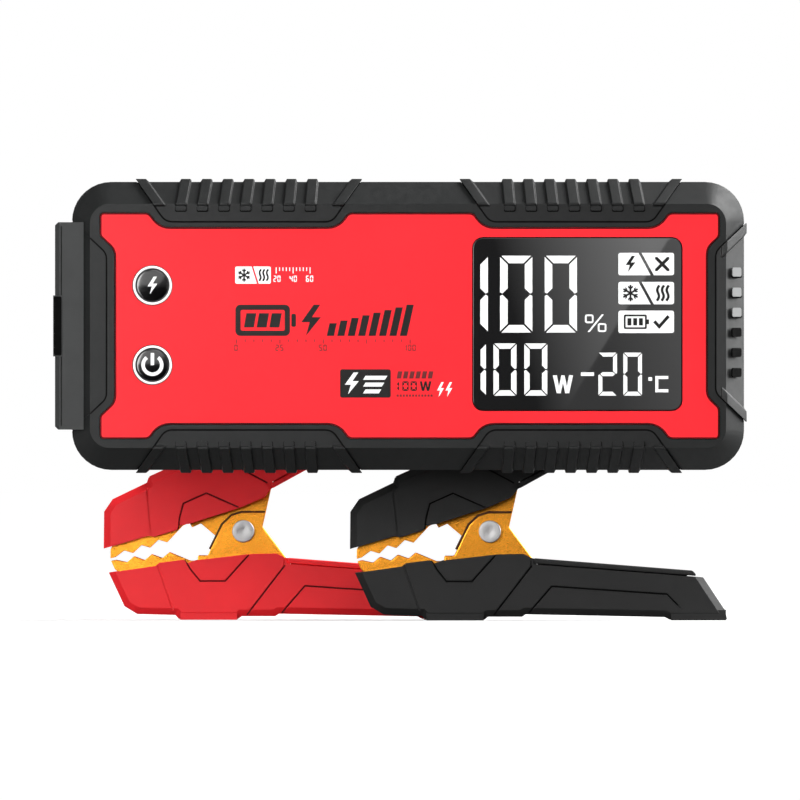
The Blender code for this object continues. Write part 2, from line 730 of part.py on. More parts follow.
def housing_screw(name, x, z, finish):
    """A pan head with a cross slot, sunk in the rear half, and a plain shank."""
    y_top = HALF_Y - SCREW_SUNK
    y_under = y_top - SCREW_HEAD
    mesh = bmesh.new()
    head = SCREW_HEAD_RADIUS
    profile = [(SCREW_RADIUS, y_top - SCREW_LENGTH), (SCREW_RADIUS, y_under), (head, y_under),
               (head, y_top - SCREW_HEAD / 3), (head * 0.8, y_top)]
    centre = PACK + Vector((x, 0.0, z))
    turned(mesh, profile, centre, 12)
    made = piece(name, mesh, finish, centre)
    arm, half = head * 0.6, SCREW_SLOT / 2
    y_span = (y_top - SCREW_HEAD / 2, y_top + OVERCUT)
    cross = pairs([(-arm, -half), (-half, -half), (-half, -arm), (half, -arm), (half, -half),
                   (arm, -half), (arm, half), (half, half), (half, arm), (-half, arm),
                   (-half, half), (-arm, half)])
    slot = bmesh.new()
    prism(slot, cross, *y_span, centre)
    cut(made, name, slot)


def front_panel(finish):
    mesh = bmesh.new()
    prism(mesh, panel_outline(), PANEL_Y, PANEL_BACK_Y)
    made = piece("front_panel", mesh, finish)
    holes = bmesh.new()
    window = screen_outline(GAP, SCREEN_RADIUS + GAP)
    prism(holes, window, PANEL_Y - OVERCUT, PANEL_BACK_Y + OVERCUT)
    for name in BUTTON_Z:
        hole = circle(BUTTON_RADIUS + RING_WIDTH + 2 * GAP, 24)
        prism(holes, hole, PANEL_Y - OVERCUT, PANEL_BACK_Y + OVERCUT, button_centre(name))
    cut(made, "front_panel", holes)


def display(window_finish, lcd_finish):
    mesh = bmesh.new()
    prism(mesh, screen_outline(0.0, SCREEN_RADIUS), PANEL_Y, PANEL_BACK_Y)
    piece("display_window", mesh, window_finish)
    mesh = bmesh.new()
    prism(mesh, screen_outline(0.0, SCREEN_RADIUS), FRONT_WALL_Y + GAP,
          FRONT_WALL_Y + GAP + LCD_THICK)
    piece("lcd_module", mesh, lcd_finish)


def button(name, cap_finish, ring_finish, switch_finish):
    """A sprung cap in its trim ring, over the switch on the board."""
    centre = button_centre(name)
    switch_front = BOARD_Y - GAP - SWITCH_THICK
    tip = switch_front - PLUNGER_LENGTH - GAP - BUTTON_TRAVEL
    flange_front = FRONT_WALL_Y + GAP
    mesh = bmesh.new()
    turned(mesh, [
        (BUTTON_RADIUS - 0.5, RIM_Y - BUTTON_PROUD), (BUTTON_RADIUS, RIM_Y - BUTTON_PROUD + 0.4),
        (BUTTON_RADIUS, flange_front), (BUTTON_RADIUS + BUTTON_FLANGE, flange_front),
        (BUTTON_RADIUS + BUTTON_FLANGE, (flange_front + tip) / 2),
        (PLUNGER_RADIUS, (flange_front + tip) / 2), (PLUNGER_RADIUS, tip),
    ], centre, 24)
    piece(f"{name}_button", mesh, cap_finish, centre)
    inner, outer = BUTTON_RADIUS + GAP, BUTTON_RADIUS + GAP + RING_WIDTH
    mesh = bmesh.new()
    turned(mesh, [(inner, PANEL_BACK_Y), (inner, RIM_Y), (outer - 0.2, RIM_Y),
                  (outer, RIM_Y + 0.2), (outer, PANEL_BACK_Y)], centre, 24, closed=True)
    piece(f"{name}_ring", mesh, ring_finish, centre)
    half = SWITCH_SIZE / 2
    mesh = bmesh.new()
    box(mesh, (-half, half), (switch_front, BOARD_Y - GAP), (-half, half), centre)
    made = piece(f"{name}_switch", mesh, switch_finish, centre)
    plunger = bmesh.new()
    prism(plunger, circle(PLUNGER_RADIUS, 12), switch_front - PLUNGER_LENGTH,
          switch_front + GAP, centre)
    join(made, f"{name}_plunger", plunger)


def main_board(finish):
    mesh = bmesh.new()
    outline = rounded_rectangle(BOARD_HALF_X, BOARD_HALF_Z, 2.0, 2)
    prism(mesh, outline, BOARD_Y, BOARD_Y + BOARD_THICK)
    piece("main_board", mesh, finish)


def battery_cells(finish):
    """Flat cells stacked from the board to the rear wall."""
    first = BOARD_Y + BOARD_THICK + GAP
    room = REAR_WALL_Y - GAP - first
    thick = (room - (CELL_COUNT - 1) * GAP) / CELL_COUNT
    for i in range(CELL_COUNT):
        y = first + i * (thick + GAP)
        outline = rounded_rectangle(CELL_LENGTH / 2, CELL_WIDTH / 2, 1.5, 2, (CELL_X, 0.0))
        rings = [along_y(inset(outline, [shrink] * len(outline)), level, PACK)
                 for shrink, level in ((0.8, y), (0.0, y + 0.8), (0.0, y + thick - 0.8),
                                       (0.8, y + thick))]
        mesh = bmesh.new()
        loft(mesh, rings)
        piece(f"battery_cell_{i + 1}", mesh, finish)


def sockets(body_finish):
    face = -HALF_X + SOCKET_DROP
    for name, (z, _, _, depth) in SOCKETS.items():
        mesh = bmesh.new()
        socket_block(mesh, name, 0.0, face, face + depth)
        made = piece(name, mesh, body_finish)
        hollow = bmesh.new()
        x_span = (face - OVERCUT, face + depth * 0.75)
        if name == "jump_socket":
            for side in (-1, 1):
                hole = circle(JUMP_HOLE_RADIUS, 16, (0.0, z + side * JUMP_HOLE_PITCH / 2))
                sideways(hollow, hole, *x_span)
        elif name == "dc_socket":
            sideways(hollow, circle(DC_HOLE_RADIUS, 12, (0.0, z)), *x_span)
        else:
            width, height = USB_A_SLOT if name == "usb_a_socket" else USB_C_SLOT
            box(hollow, x_span, (-width / 2, width / 2), (z - height / 2, z + height / 2))
        cut(made, name, hollow)


def hinge_axis():
    """(x, y) of the port cover's pin, off the rear chamfer of the left end."""
    start = Vector((-HALF_X, HALF_Y - CHAMFER_DEPTH))
    along = Vector((CHAMFER_SIDE, CHAMFER_DEPTH)).normalized()
    return start + along * HINGE_ALONG + Vector((-along.y, along.x)) * HINGE_OUT


def port_frame(band, finish):
    """The band round the left end, open for the sockets, with the two lugs of the cover's hinge."""
    made = piece("port_frame", band.solid(), finish)
    axis = hinge_axis()
    start = Vector((-HALF_X, HALF_Y - CHAMFER_DEPTH))
    along = Vector((CHAMFER_SIDE, CHAMFER_DEPTH)).normalized()
    inward = Vector((along.y, -along.x)) * PAD_THICK / 2
    foot = [start + along * (HINGE_ALONG + side * KNUCKLE_RADIUS) + inward for side in (-1, 1)]
    facing = math.atan2(along.x, -along.y)
    arc = [axis + Vector((math.cos(a), math.sin(a))) * KNUCKLE_RADIUS
           for a in (facing + math.pi * (k / 8 - 0.5) for k in range(9))]
    lugs = bmesh.new()
    for z_end in (LUG_END, LUG_LENGTH - LUG_END):
        upright(lugs, [*foot, *arc], z_end - LUG_LENGTH, z_end)
    join(made, "hinge_lugs", lugs)
    holes = bmesh.new()
    upright(holes, circle(HINGE_PIN_RADIUS + GAP, 12, axis), -LUG_END - OVERCUT,
            LUG_END + OVERCUT)
    for name in SOCKETS:
        socket_block(holes, name, GAP, -HALF_X - OVERCUT, -HALF_X + SHELL)
    cut(made, "port_frame", holes)


def cover_rim(thick_in):
    """Where the cover's front wall meets the front chamfer: (x, y), this far inside the wall."""
    y = -COVER_HALF_Y + thick_in
    start = Vector((-HALF_X, -(HALF_Y - CHAMFER_DEPTH)))
    along = Vector((CHAMFER_SIDE, -CHAMFER_DEPTH)).normalized()
    line = shifted_line(start, start + along, -GAP)
    return crossing(line, (Vector((0.0, y)), Vector((1.0, 0.0))))


def port_cover(finish):
    """A cap over the sockets that swings on a pin at its rear edge."""
    axis = hinge_axis()
    x_out = -HALF_X - COVER_STAND
    x_in = x_out + COVER_WALL
    y_rear = axis.y - KNUCKLE_RADIUS / 2
    bevel = COVER_BEVEL
    x_rear = axis.x - KNUCKLE_RADIUS
    outline = [cover_rim(0.0), Vector((x_rear, y_rear)), Vector((x_out + bevel, y_rear)),
               Vector((x_out, y_rear - bevel)), Vector((x_out, -COVER_HALF_Y + bevel)),
               Vector((x_out + bevel, -COVER_HALF_Y))]
    body = [outline[0], cover_rim(COVER_WALL), Vector((-HALF_X - GAP, cover_rim(COVER_WALL).y)),
            Vector((-HALF_X - GAP, y_rear - COVER_WALL - GAP)),
            Vector((x_rear, y_rear - COVER_WALL - GAP)), *outline[1:]]
    centre = PACK + Vector((axis.x, axis.y, 0.0))
    mesh = bmesh.new()
    shrink = [Vector((max(p.x, x_out + bevel * 0.7), p.y)) for p in body]
    levels = ((-COVER_HALF_Z, shrink), (-COVER_HALF_Z + bevel * 0.7, body),
              (COVER_HALF_Z - bevel * 0.7, body), (COVER_HALF_Z, shrink))
    loft(mesh, [[PACK + Vector((p.x, p.y, z)) for p in ring] for z, ring in levels])
    made = piece("port_cover", mesh, finish, centre)
    hollow = bmesh.new()
    upright(hollow, [
        Vector((x_in, -COVER_HALF_Y + COVER_WALL)), Vector((HALF_X, -COVER_HALF_Y + COVER_WALL)),
        Vector((HALF_X, y_rear - COVER_WALL)), Vector((x_in, y_rear - COVER_WALL)),
    ], -COVER_HALF_Z + COVER_WALL, COVER_HALF_Z - COVER_WALL)
    cut(made, "cover_hollow", hollow)
    tab = bmesh.new()
    box(tab, (x_out - TAB_PROUD, x_out + TAB_WIDTH - TAB_PROUD),
        (-COVER_HALF_Y - TAB_PROUD / 2, -COVER_HALF_Y + COVER_WALL + TAB_WIDTH),
        (-TAB_HALF, TAB_HALF))
    inside = bmesh.new()
    join(made, "cover_tab", tab)
    box(inside, (x_in, -HALF_X), (-COVER_HALF_Y + COVER_WALL, 0.0), (-TAB_HALF - 1, TAB_HALF + 1))
    cut(made, "tab_inside", inside)
    knuckle = bmesh.new()
    half = LUG_END - LUG_LENGTH - GAP
    arm = [Vector((x_rear - bevel, y_rear - COVER_WALL)), Vector((axis.x, axis.y - KNUCKLE_RADIUS)),
           *[axis + Vector((math.cos(a), math.sin(a))) * KNUCKLE_RADIUS
             for a in (math.pi * (k / 8 - 0.375) for k in range(8))],
           Vector((x_rear - bevel, y_rear - GAP / 2))]
    upright(knuckle, arm, -half, half)
    join(made, "cover_knuckle", knuckle)
    hole = bmesh.new()
    upright(hole, circle(HINGE_PIN_RADIUS + GAP, 12, axis), -LUG_END - OVERCUT,
            LUG_END + OVERCUT)
    cut(made, "cover_pin_hole", hole)


def cover_hinge_pin(finish):
    axis = hinge_axis()
    mesh = bmesh.new()
    upright(mesh, circle(HINGE_PIN_RADIUS, 12, axis), -LUG_END, LUG_END)
    piece("cover_hinge_pin", mesh, finish, PACK + Vector((axis.x, axis.y, 0.0)))


def grips(bands, finish):
    for name, band in bands.items():
        middle = sum(band.span) / 2
        first = middle - RIB_PITCH * (RIB_COUNT - 1) / 2
        tops = [first + RIB_PITCH * i for i in range(RIB_COUNT)]
        piece(name, band.solid(tops), finish)


def end_bumper(band, finish):
    made = piece("end_bumper", band.solid(), finish)
    window = bmesh.new()
    y_half, z_half = LAMP_HALF_Y + GAP, LAMP_HALF_Z + GAP
    box(window, (HALF_X - SHELL, HALF_X + OVERCUT), (-y_half, y_half),
        (BUMPER_SHIFT - z_half, BUMPER_SHIFT + z_half))
    cut(made, "lamp_window", window)


def work_lamp(lens_finish, board_finish):
    x_face = HALF_X - SOCKET_DROP
    x_back = x_face - LAMP_THICK
    outline = rounded_rectangle(LAMP_HALF_Y, LAMP_HALF_Z, 2.0, 3, (0.0, BUMPER_SHIFT))
    mesh = bmesh.new()
    sideways(mesh, outline, x_back, x_face)
    piece("lamp_lens", mesh, lens_finish)
    half_y, half_z = LAMP_HALF_Y + LAMP_BOARD_MARGIN, LAMP_HALF_Z + LAMP_BOARD_MARGIN
    x_board = min(x_back, HALF_X - SHELL) - GAP
    mesh = bmesh.new()
    box(mesh, (x_board - LAMP_BOARD_THICK, x_board), (-half_y, half_y),
        (BUMPER_SHIFT - half_z, BUMPER_SHIFT + half_z))
    piece("lamp_board", mesh, board_finish)


# ---------------------------------------------------------------- clamps


def mirrored(point):
    """A point of the lower lever, carried to the upper one across the line between the jaws."""
    turn = 2 * JAW_RISE
    x, z = point
    across = x * math.cos(turn) + z * math.sin(turn)
    return Vector((across, x * math.sin(turn) - z * math.cos(turn)))


def lever_outline(amount_back, amount_face):
    """A lever's shell in side view, its back and its open side moved inward by these amounts."""
    seat = (LID_LINE[0][0], LID_LINE[0][1] - LID_THICK - GAP)
    outline = pairs([*LEVER_BACK, seat, *LEVER_FACE])
    backs = len(LEVER_BACK) - 1
    amounts = [amount_back] * backs + [amount_face] * (len(outline) - backs)
    return inset(outline, amounts)


def lever_hollow():
    """The inside of a shell: its back moved in by the wall, open upward past the pivot line."""
    back = lever_outline(SHELL_WALL, -OVERCUT)[:len(LEVER_BACK)]
    return back + [Vector((back[-1].x, 0.0)), Vector((back[0].x, 0.0))]


class Lever:
    """Half of a clamp.  Outlines are drawn for the lower lever and mirrored for the upper one."""

    def __init__(self, clamp, level, pivot):
        self.name = f"{clamp}_{level}"
        self.upper = level == "upper"
        self.pivot = pivot

    def side(self, outline):
        return [mirrored(p) for p in outline] if self.upper else list(outline)

    def block(self, mesh, outline, y_from, y_to):
        prism(mesh, self.side(outline), y_from, y_to, self.pivot)

    def shell(self, finish):
        """A channel, chamfered along its back and open towards the jaw."""
        width, chamfer = CLAMP_HALF_WIDTH, SHELL_CHAMFER_Y
        full = self.side(lever_outline(0.0, 0.0))
        slim = self.side(lever_outline(SHELL_CHAMFER, 0.0))
        mesh = bmesh.new()
        levels = ((slim, -width), (full, chamfer - width), (full, width - chamfer),
                  (slim, width))
        loft(mesh, [along_y(ring, y, self.pivot) for ring, y in levels])
        made = piece(f"{self.name}_shell", mesh, finish, self.pivot)
        feet = bmesh.new()
        for start, end in FEET:
            foot = [(start, -PIVOT_HEIGHT), (end, -PIVOT_HEIGHT),
                    (end, FOOT_HEIGHT - PIVOT_HEIGHT), (start, FOOT_HEIGHT - PIVOT_HEIGHT)]
            self.block(feet, pairs(foot), GAP / 2 - width, width - GAP / 2)
        join(made, f"{self.name}_feet", feet)
        hollow = bmesh.new()
        room = width - SHELL_WALL
        self.block(hollow, lever_hollow(), -room, room)
        cut(made, f"{self.name}_hollow", hollow)
        self.grooves(made)
        if self.upper:
            self.cable_inlet(made)

    def grooves(self, made):
        lines = bmesh.new()
        half = GROOVE_WIDTH / 2
        deep, out = CLAMP_HALF_WIDTH - GROOVE_DEPTH, CLAMP_HALF_WIDTH + OVERCUT
        for path in GROOVES:
            line = pairs(path)
            ribbon = offset_path(line, half) + offset_path(line, -half)[::-1]
            self.block(lines, ribbon, deep, out)
            self.block(lines, ribbon, -out, -deep)
        cut(made, f"{self.name}_grooves", lines)

    def cable_inlet(self, made):
        """A round hole square to the sloping end wall of the handle."""
        low, high = pairs(LEVER_BACK[-2:])
        middle = (low + high) / 2
        out = Vector((high.y - low.y, low.x - high.x)).normalized()
        inner = mirrored(middle - out * 2 * SHELL_WALL)
        outer = mirrored(middle + out * OVERCUT)
        forward = (outer - inner).normalized()
        up = Vector((-forward.y, forward.x))
        mesh = bmesh.new()
        rings = []
        for end in (inner, outer):
            ring = [(end + up * p.y, p.x) for p in circle(INLET_RADIUS, 16)]
            rings.append([self.pivot + Vector((q.x, y, q.y)) for q, y in ring])
        loft(mesh, rings)
        cut(made, f"{self.name}_inlet", mesh)

    def lid(self, finish):
        """The strip that closes the handle on its inner side, with a plug between its walls."""
        start, end = pairs(LID_LINE)
        drop = Vector((0.0, -LID_THICK))
        start = start + Vector((GAP, 0.0))
        outline = [start + drop, end + drop, end - Vector((0.0, LID_NOSE)),
                   end - Vector((LID_NOSE, 0.0)), start]
        half = CLAMP_HALF_WIDTH - LID_SIDE
        mesh = bmesh.new()
        self.block(mesh, outline, -half, half)
        made = piece(f"{self.name}_lid", mesh, finish, self.pivot)
        inside = Vector((LID_PLUG, 0.0))
        far = end - Vector((LID_PLUG_END, 0.0))
        deep = drop - Vector((0.0, LID_PLUG))
        plug = [start + inside + deep, far + deep, far + drop / 2, start + inside + drop / 2]
        room = CLAMP_HALF_WIDTH - SHELL_WALL - GAP
        block = bmesh.new()
        self.block(block, plug, -room, room)
        join(made, f"{self.name}_plug", block)

    def teeth(self):
        """Tooth tips and the roots before them, from the back of the jaw to its nose."""
        points = []
        for i in reversed(range(TOOTH_COUNT)):
            tip = Vector(TOOTH_FIRST) + Vector((TOOTH_PITCH, TOOTH_RISE)) * i
            points += [tip, tip - Vector((ROOT_BACK, ROOT_DROP))]
        return points

    def jaw(self, finish):
        """A brass channel with toothed sides, ears for the pin and a tail in the handle."""
        tail = [(TAIL_END, JAW_FLOOR), (TAIL_END, JAW_WEB - TAIL_DROP),
                (TAIL_START, JAW_WEB - TAIL_DROP)]
        outline = pairs(JAW_NOSE + tail + JAW_EAR) + self.teeth() + pairs([JAW_TIP])
        mesh = bmesh.new()
        self.block(mesh, outline, -EAR_OUT, EAR_OUT)
        made = piece(f"{self.name}_jaw", mesh, finish, self.pivot)
        slots = bmesh.new()
        inner = INNER_EAR_IN if self.upper else EAR_IN
        throat = JAW_STEP - PLATE
        for start, end, floor, half in ((-JAW_CLEAR, throat, NOSE_WEB, EAR_IN),
                                        (throat + GAP, EAR_END, JAW_WEB, inner)):
            slot = pairs([(start, floor), (end, floor), (end, JAW_CLEAR), (start, JAW_CLEAR)])
            self.block(slots, slot, -half, half)
        cut(made, f"{self.name}_slots", slots)
        if self.upper:
            self.narrow_ears(made)
        hole = bmesh.new()
        prism(hole, circle(PIN_RADIUS + GAP, 16), -EAR_OUT - OVERCUT, EAR_OUT + OVERCUT, self.pivot)
        cut(made, f"{self.name}_pin_hole", hole)

    def narrow_ears(self, made):
        """The upper lever's ears run inside the lower ones."""
        sides = bmesh.new()
        outline = pairs([(JAW_STEP, EAR_FOOT), (EAR_END, EAR_FOOT), (EAR_END, JAW_CLEAR),
                         (JAW_STEP, JAW_CLEAR)])
        self.block(sides, outline, INNER_EAR_OUT, EAR_OUT + OVERCUT)
        self.block(sides, outline, -EAR_OUT - OVERCUT, -INNER_EAR_OUT)
        cut(made, f"{self.name}_ear_sides", sides)


def pivot_pin(clamp, pivot, finish):
    shaft_end = EAR_OUT + GAP
    head_end = shaft_end + PIN_HEAD
    half = [(PIN_HEAD_RADIUS * 0.85, -head_end), (PIN_HEAD_RADIUS, -head_end + PIN_HEAD * 0.4),
            (PIN_HEAD_RADIUS, -shaft_end), (PIN_RADIUS, -shaft_end)]
    profile = half + [(radius, -y) for radius, y in reversed(half)]
    mesh = bmesh.new()
    turned(mesh, profile, pivot, 20)
    piece(f"{clamp}_pivot_pin", mesh, finish, pivot)


def spring_path():
    """The clamp spring: a leg on the lower web, the coil round the pin, a leg on the upper web."""
    radius = PIN_RADIUS + GAP + SPRING_WIRE / 2
    low_end = Vector((SPRING_SEAT, JAW_WEB + GAP + SPRING_WIRE / 2))
    high_end = mirrored(low_end)
    lean = math.acos(radius / low_end.length)
    start = math.atan2(low_end.y, low_end.x) - lean
    stop = math.atan2(high_end.y, high_end.x) + lean
    sweep = (start - stop) % (2 * math.pi) + 2 * math.pi * SPRING_TURNS
    steps = round(sweep / (2 * math.pi) * 10)
    path = [Vector((low_end.x, -SPRING_HALF, low_end.y))]
    for k in range(steps + 1):
        angle = start - sweep * k / steps
        y = SPRING_HALF * (2 * k / steps - 1)
        path.append(Vector((radius * math.cos(angle), y, radius * math.sin(angle))))
    path.append(Vector((high_end.x, SPRING_HALF, high_end.y)))
    return path


def least_gap(path, wire):
    """The tube's least clear gap to itself, over points at least half a turn apart."""
    apart = [(a - b).length for i, a in enumerate(path) for b in path[i + 5:]]
    return min(apart) - wire


def spring(clamp, pivot, finish):
    curve = bpy.data.curves.new(f"{clamp}_spring", "CURVE")
    curve.dimensions = "3D"
    curve.bevel_depth = SPRING_WIRE / 2 * MM
    curve.bevel_resolution = 1
    curve.use_fill_caps = True
    path = spring_path()
    spline = curve.splines.new("POLY")
    spline.points.add(len(path) - 1)
    for point, place in zip(spline.points, path):
        point.co = (*(place * MM), 1.0)
    curve.materials.append(finish)
    made = bpy.data.objects.new(f"{clamp}_spring", curve)
    made.location = pivot * MM
    bpy.context.scene.collection.objects.link(made)
    print(f"{clamp}_spring: least gap to itself {least_gap(path, SPRING_WIRE):.2f} mm")


def clamp(name, x, y, plastic, brass, steel):
    pivot = Vector((x, y, PIVOT_HEIGHT))
    for level in ("lower", "upper"):
        lever = Lever(name, level, pivot)
        lever.shell(plastic)
        lever.lid(plastic)
        lever.jaw(brass)
    pivot_pin(name, pivot, steel)
    spring(name, pivot, steel)


# ---------------------------------------------------------------- whole object


def main():
    for old in list(bpy.data.objects):
        bpy.data.objects.remove(old, do_unlink=True)

    case = material("case_plastic", (0.035, 0.037, 0.037), 0.55)
    grip = material("grip_rubber", (0.020, 0.021, 0.021), 0.7)
    red = material("panel_red", (0.95, 0.045, 0.06), 0.35)
    glass = material("screen_black", (0.01, 0.01, 0.012), 0.08)
    white = material("ring_white", (0.85, 0.85, 0.85), 0.4)
    lens = material("lamp_clear", (0.75, 0.8, 0.85), 0.1)
    green = material("board_green", (0.02, 0.16, 0.06), 0.5)
    wrap = material("cell_wrap", (0.08, 0.14, 0.3), 0.35)
    clamp_red = material("clamp_red", (0.83, 0.03, 0.045), 0.45)
    clamp_black = material("clamp_black", (0.03, 0.031, 0.032), 0.5)
    brass = material("jaw_brass", (0.8, 0.45, 0.12), 0.35, 1.0)
    steel = material("pin_steel", (0.55, 0.56, 0.58), 0.35, 1.0)

    bands = {**grip_bands(), "end_bumper": bumper_band(), "port_frame": frame_band()}
    seats = case_recesses(bands)
    front_housing(case, seats)
    rear_housing(case, seats)
    for i, (x, z) in enumerate(screw_places()):
        housing_screw(f"housing_screw_{i + 1}", x, z, steel)
    front_panel(red)
    display(glass, lens)
    for name in BUTTON_Z:
        button(name, glass, white, case)
    main_board(green)
    battery_cells(wrap)
    sockets(case)
    port_frame(bands.pop("port_frame"), grip)
    port_cover(case)
    cover_hinge_pin(steel)
    end_bumper(bands.pop("end_bumper"), grip)
    grips(bands, grip)
    work_lamp(lens, green)
    clamp("red", RED_CLAMP_X, RED_CLAMP_Y, clamp_red, brass, steel)
    clamp("black", BLACK_CLAMP_X, BLACK_CLAMP_Y, clamp_black, brass, steel)


main()
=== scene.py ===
"""Looks for the jump starter pack and its two battery clamps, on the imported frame.

Sizes are millimetres in the frame's own axes: the screen faces -Y and +Z is up.  Prints,
icons and small pieces are meshes in frame coordinates, scaled to metres when made.  Only
the stage, its lamps and its cards are in metres.
"""

import math
from collections import namedtuple

import bmesh
import bpy
from mathutils import Matrix, Vector

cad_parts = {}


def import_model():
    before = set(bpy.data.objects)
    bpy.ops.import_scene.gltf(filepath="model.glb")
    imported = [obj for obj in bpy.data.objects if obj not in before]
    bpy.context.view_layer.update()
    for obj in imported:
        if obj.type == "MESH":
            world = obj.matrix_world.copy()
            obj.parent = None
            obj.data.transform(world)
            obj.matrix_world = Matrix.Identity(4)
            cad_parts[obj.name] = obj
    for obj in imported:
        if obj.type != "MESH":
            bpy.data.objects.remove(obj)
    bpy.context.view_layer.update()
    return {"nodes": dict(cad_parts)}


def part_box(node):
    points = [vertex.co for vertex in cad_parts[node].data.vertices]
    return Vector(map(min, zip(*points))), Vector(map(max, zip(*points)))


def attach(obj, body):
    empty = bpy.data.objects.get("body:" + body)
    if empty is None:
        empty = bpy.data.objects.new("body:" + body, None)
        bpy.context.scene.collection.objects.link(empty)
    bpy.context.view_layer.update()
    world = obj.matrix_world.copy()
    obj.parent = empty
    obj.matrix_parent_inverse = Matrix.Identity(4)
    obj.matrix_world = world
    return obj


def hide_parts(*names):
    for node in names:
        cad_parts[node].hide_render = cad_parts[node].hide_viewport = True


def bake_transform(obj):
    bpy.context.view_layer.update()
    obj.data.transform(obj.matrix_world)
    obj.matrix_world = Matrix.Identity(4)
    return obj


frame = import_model()

MM = 0.001
WELD = 0.002                 # points closer than this are one point
ROUND_STEPS = 64             # sides of a full circle


def node_box(name):
    """The two corners of a CAD node's box, and its middle."""
    low, high = (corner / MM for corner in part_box(name))
    return low, high, (low + high) / 2


PANEL_LOW, _, PANEL_MIDDLE = node_box("front_panel")
SCREEN_LOW = node_box("display_window")[0]
RIM_LOW, RIM_HIGH, RIM_MIDDLE = node_box("front_housing")
REAR_Y = node_box("rear_housing")[1].y
PANEL = (PANEL_MIDDLE.x, PANEL_MIDDLE.z)     # prints have their places from the panel's middle
SCREEN = (SCREEN_LOW.x, SCREEN_LOW.z)        # and the figures from the screen's corner


# ---- node graphs


class Graph:
    """The node tree of a material or a world, with short ways to build it."""

    def __init__(self, owner, clear=True):
        owner.use_nodes = True
        self.nodes, self.links = owner.node_tree.nodes, owner.node_tree.links
        if clear:
            self.nodes.clear()

    def put(self, target, value):
        """Links the input to this socket, or sets the input's own value."""
        if isinstance(value, bpy.types.NodeSocket):
            self.links.new(value, target)
        else:
            target.default_value = value

    def fill(self, node, *ordered, **named):
        """Fills inputs in order, or by name with _ for a space, and sets properties."""
        for key, value in named.items():
            name = key.replace("_", " ")
            if name in node.inputs:
                self.put(node.inputs[name], value)
            else:
                setattr(node, key, value)
        for target, value in zip(node.inputs, ordered):
            self.put(target, value)
        return node

    def new(self, kind, *ordered, **named):
        return self.fill(self.nodes.new(kind), *ordered, **named)

    def place(self, space="Object"):
        return self.new("ShaderNodeTexCoord").outputs[space]

    def span(self, source, low, high, start=0.3, stop=0.7, **named):
        """The source, carried from its range start to stop over to low to high."""
        node = self.new("ShaderNodeMapRange", source, From_Min=start, From_Max=stop,
                        To_Min=low, To_Max=high, **named)
        return node.outputs["Result"]

    def combine(self, operation, first, second):
        node = self.new("ShaderNodeMath", first, second, operation=operation)
        return node.outputs["Value"]


# ---- materials


def linear(code):
    """The linear colour of a six-digit sRGB code."""
    parts = [int(code[i:i + 2], 16) / 255 for i in (0, 2, 4)]
    return tuple(c / 12.92 if c <= 0.04045 else ((c + 0.055) / 1.055) ** 2.4
                 for c in parts) + (1.0,)


class Finish(Graph):
    """A Principled material with procedural colour, roughness and relief."""

    SMOOTHEST = 0.02             # a varied roughness stays above this

    def __init__(self, name, colour, rough, **fixed):
        self.material = bpy.data.materials.new(name)
        super().__init__(self.material, clear=False)
        self.colour, self.rough = linear(colour), rough
        self.shader = self.fill(self.nodes["Principled BSDF"], Base_Color=self.colour,
                                Roughness=rough, **fixed)
        self.source = self.place()
        self.relief = None

    def noise(self, size, detail=3.0, stretch=None):
        """Noise whose features are about this many millimetres across."""
        source = self.source
        if stretch:
            source = self.new("ShaderNodeMapping", source, Scale=stretch).outputs["Vector"]
        node = self.new("ShaderNodeTexNoise", source, Scale=1.0 / (size * MM), Detail=detail,
                        Roughness=0.55)
        return node.outputs["Fac"]

    def shade(self, source, amount):
        """Colour that runs this share darker and lighter with the source."""
        dark, light = [tuple(min(1.0, c * share) for c in self.colour[:3]) + (1.0,)
                       for share in (1 - amount, 1 + amount)]
        mix = self.new("ShaderNodeMix", data_type="RGBA", Factor=self.span(source, 0.0, 1.0),
                       A=dark, B=light)
        self.put(self.shader.inputs["Base Color"], mix.outputs["Result"])

    def roughen(self, source, amount):
        low, high = max(self.SMOOTHEST, self.rough - amount), self.rough + amount
        self.put(self.shader.inputs["Roughness"], self.span(source, low, high))

    def bump(self, source, height):
        """Relief of this many millimetres, on top of the relief so far."""
        node = self.new("ShaderNodeBump", Strength=1.0, Distance=height * MM, Height=source)
        if self.relief:
            self.put(node.inputs["Normal"], self.relief)
        self.relief = node.outputs["Normal"]
        self.put(self.shader.inputs["Normal"], self.relief)


def moulded(name, colour, rough, grain=0.35, depth=0.02, specular=0.3, tint=0.08):
    """Moulded plastic or rubber with a spark-eroded grain."""
    made = Finish(name, colour, rough, Specular_IOR_Level=specular)
    made.shade(made.noise(18.0), tint)
    made.roughen(made.noise(2.5), 0.06)
    made.bump(made.noise(6.0, 1.0), depth * 1.5)
    made.bump(made.noise(grain, 2.0), depth)
    return made.material


def enamel(name, colour, rough, coat, specular=0.4):
    """Smooth painted or glossy plastic: faint orange peel under a clear coat."""
    made = Finish(name, colour, rough, Specular_IOR_Level=specular, Coat_Weight=coat,
                  Coat_Roughness=0.12)
    made.shade(made.noise(30.0), 0.03)
    made.roughen(made.noise(3.0), 0.04)
    made.bump(made.noise(1.4, 1.0), 0.004)
    return made.material


def metal(name, colour, rough, stretch, scratch):
    """Rolled sheet or turned metal, with its drawing lines along one direction."""
    made = Finish(name, colour, rough, Metallic=1.0)
    lines = made.noise(0.6, 4.0, stretch)
    made.shade(made.noise(9.0), 0.1)
    made.roughen(lines, 0.07)
    made.bump(made.noise(4.0, 2.0), 0.03)
    made.bump(lines, scratch)
    return made.material


def glossy_window():
    made = Finish("window_gloss", "050506", 0.014, IOR=1.65)
    made.shade(made.noise(25.0), 0.1)
    made.roughen(made.noise(8.0), 0.003)
    return made.material


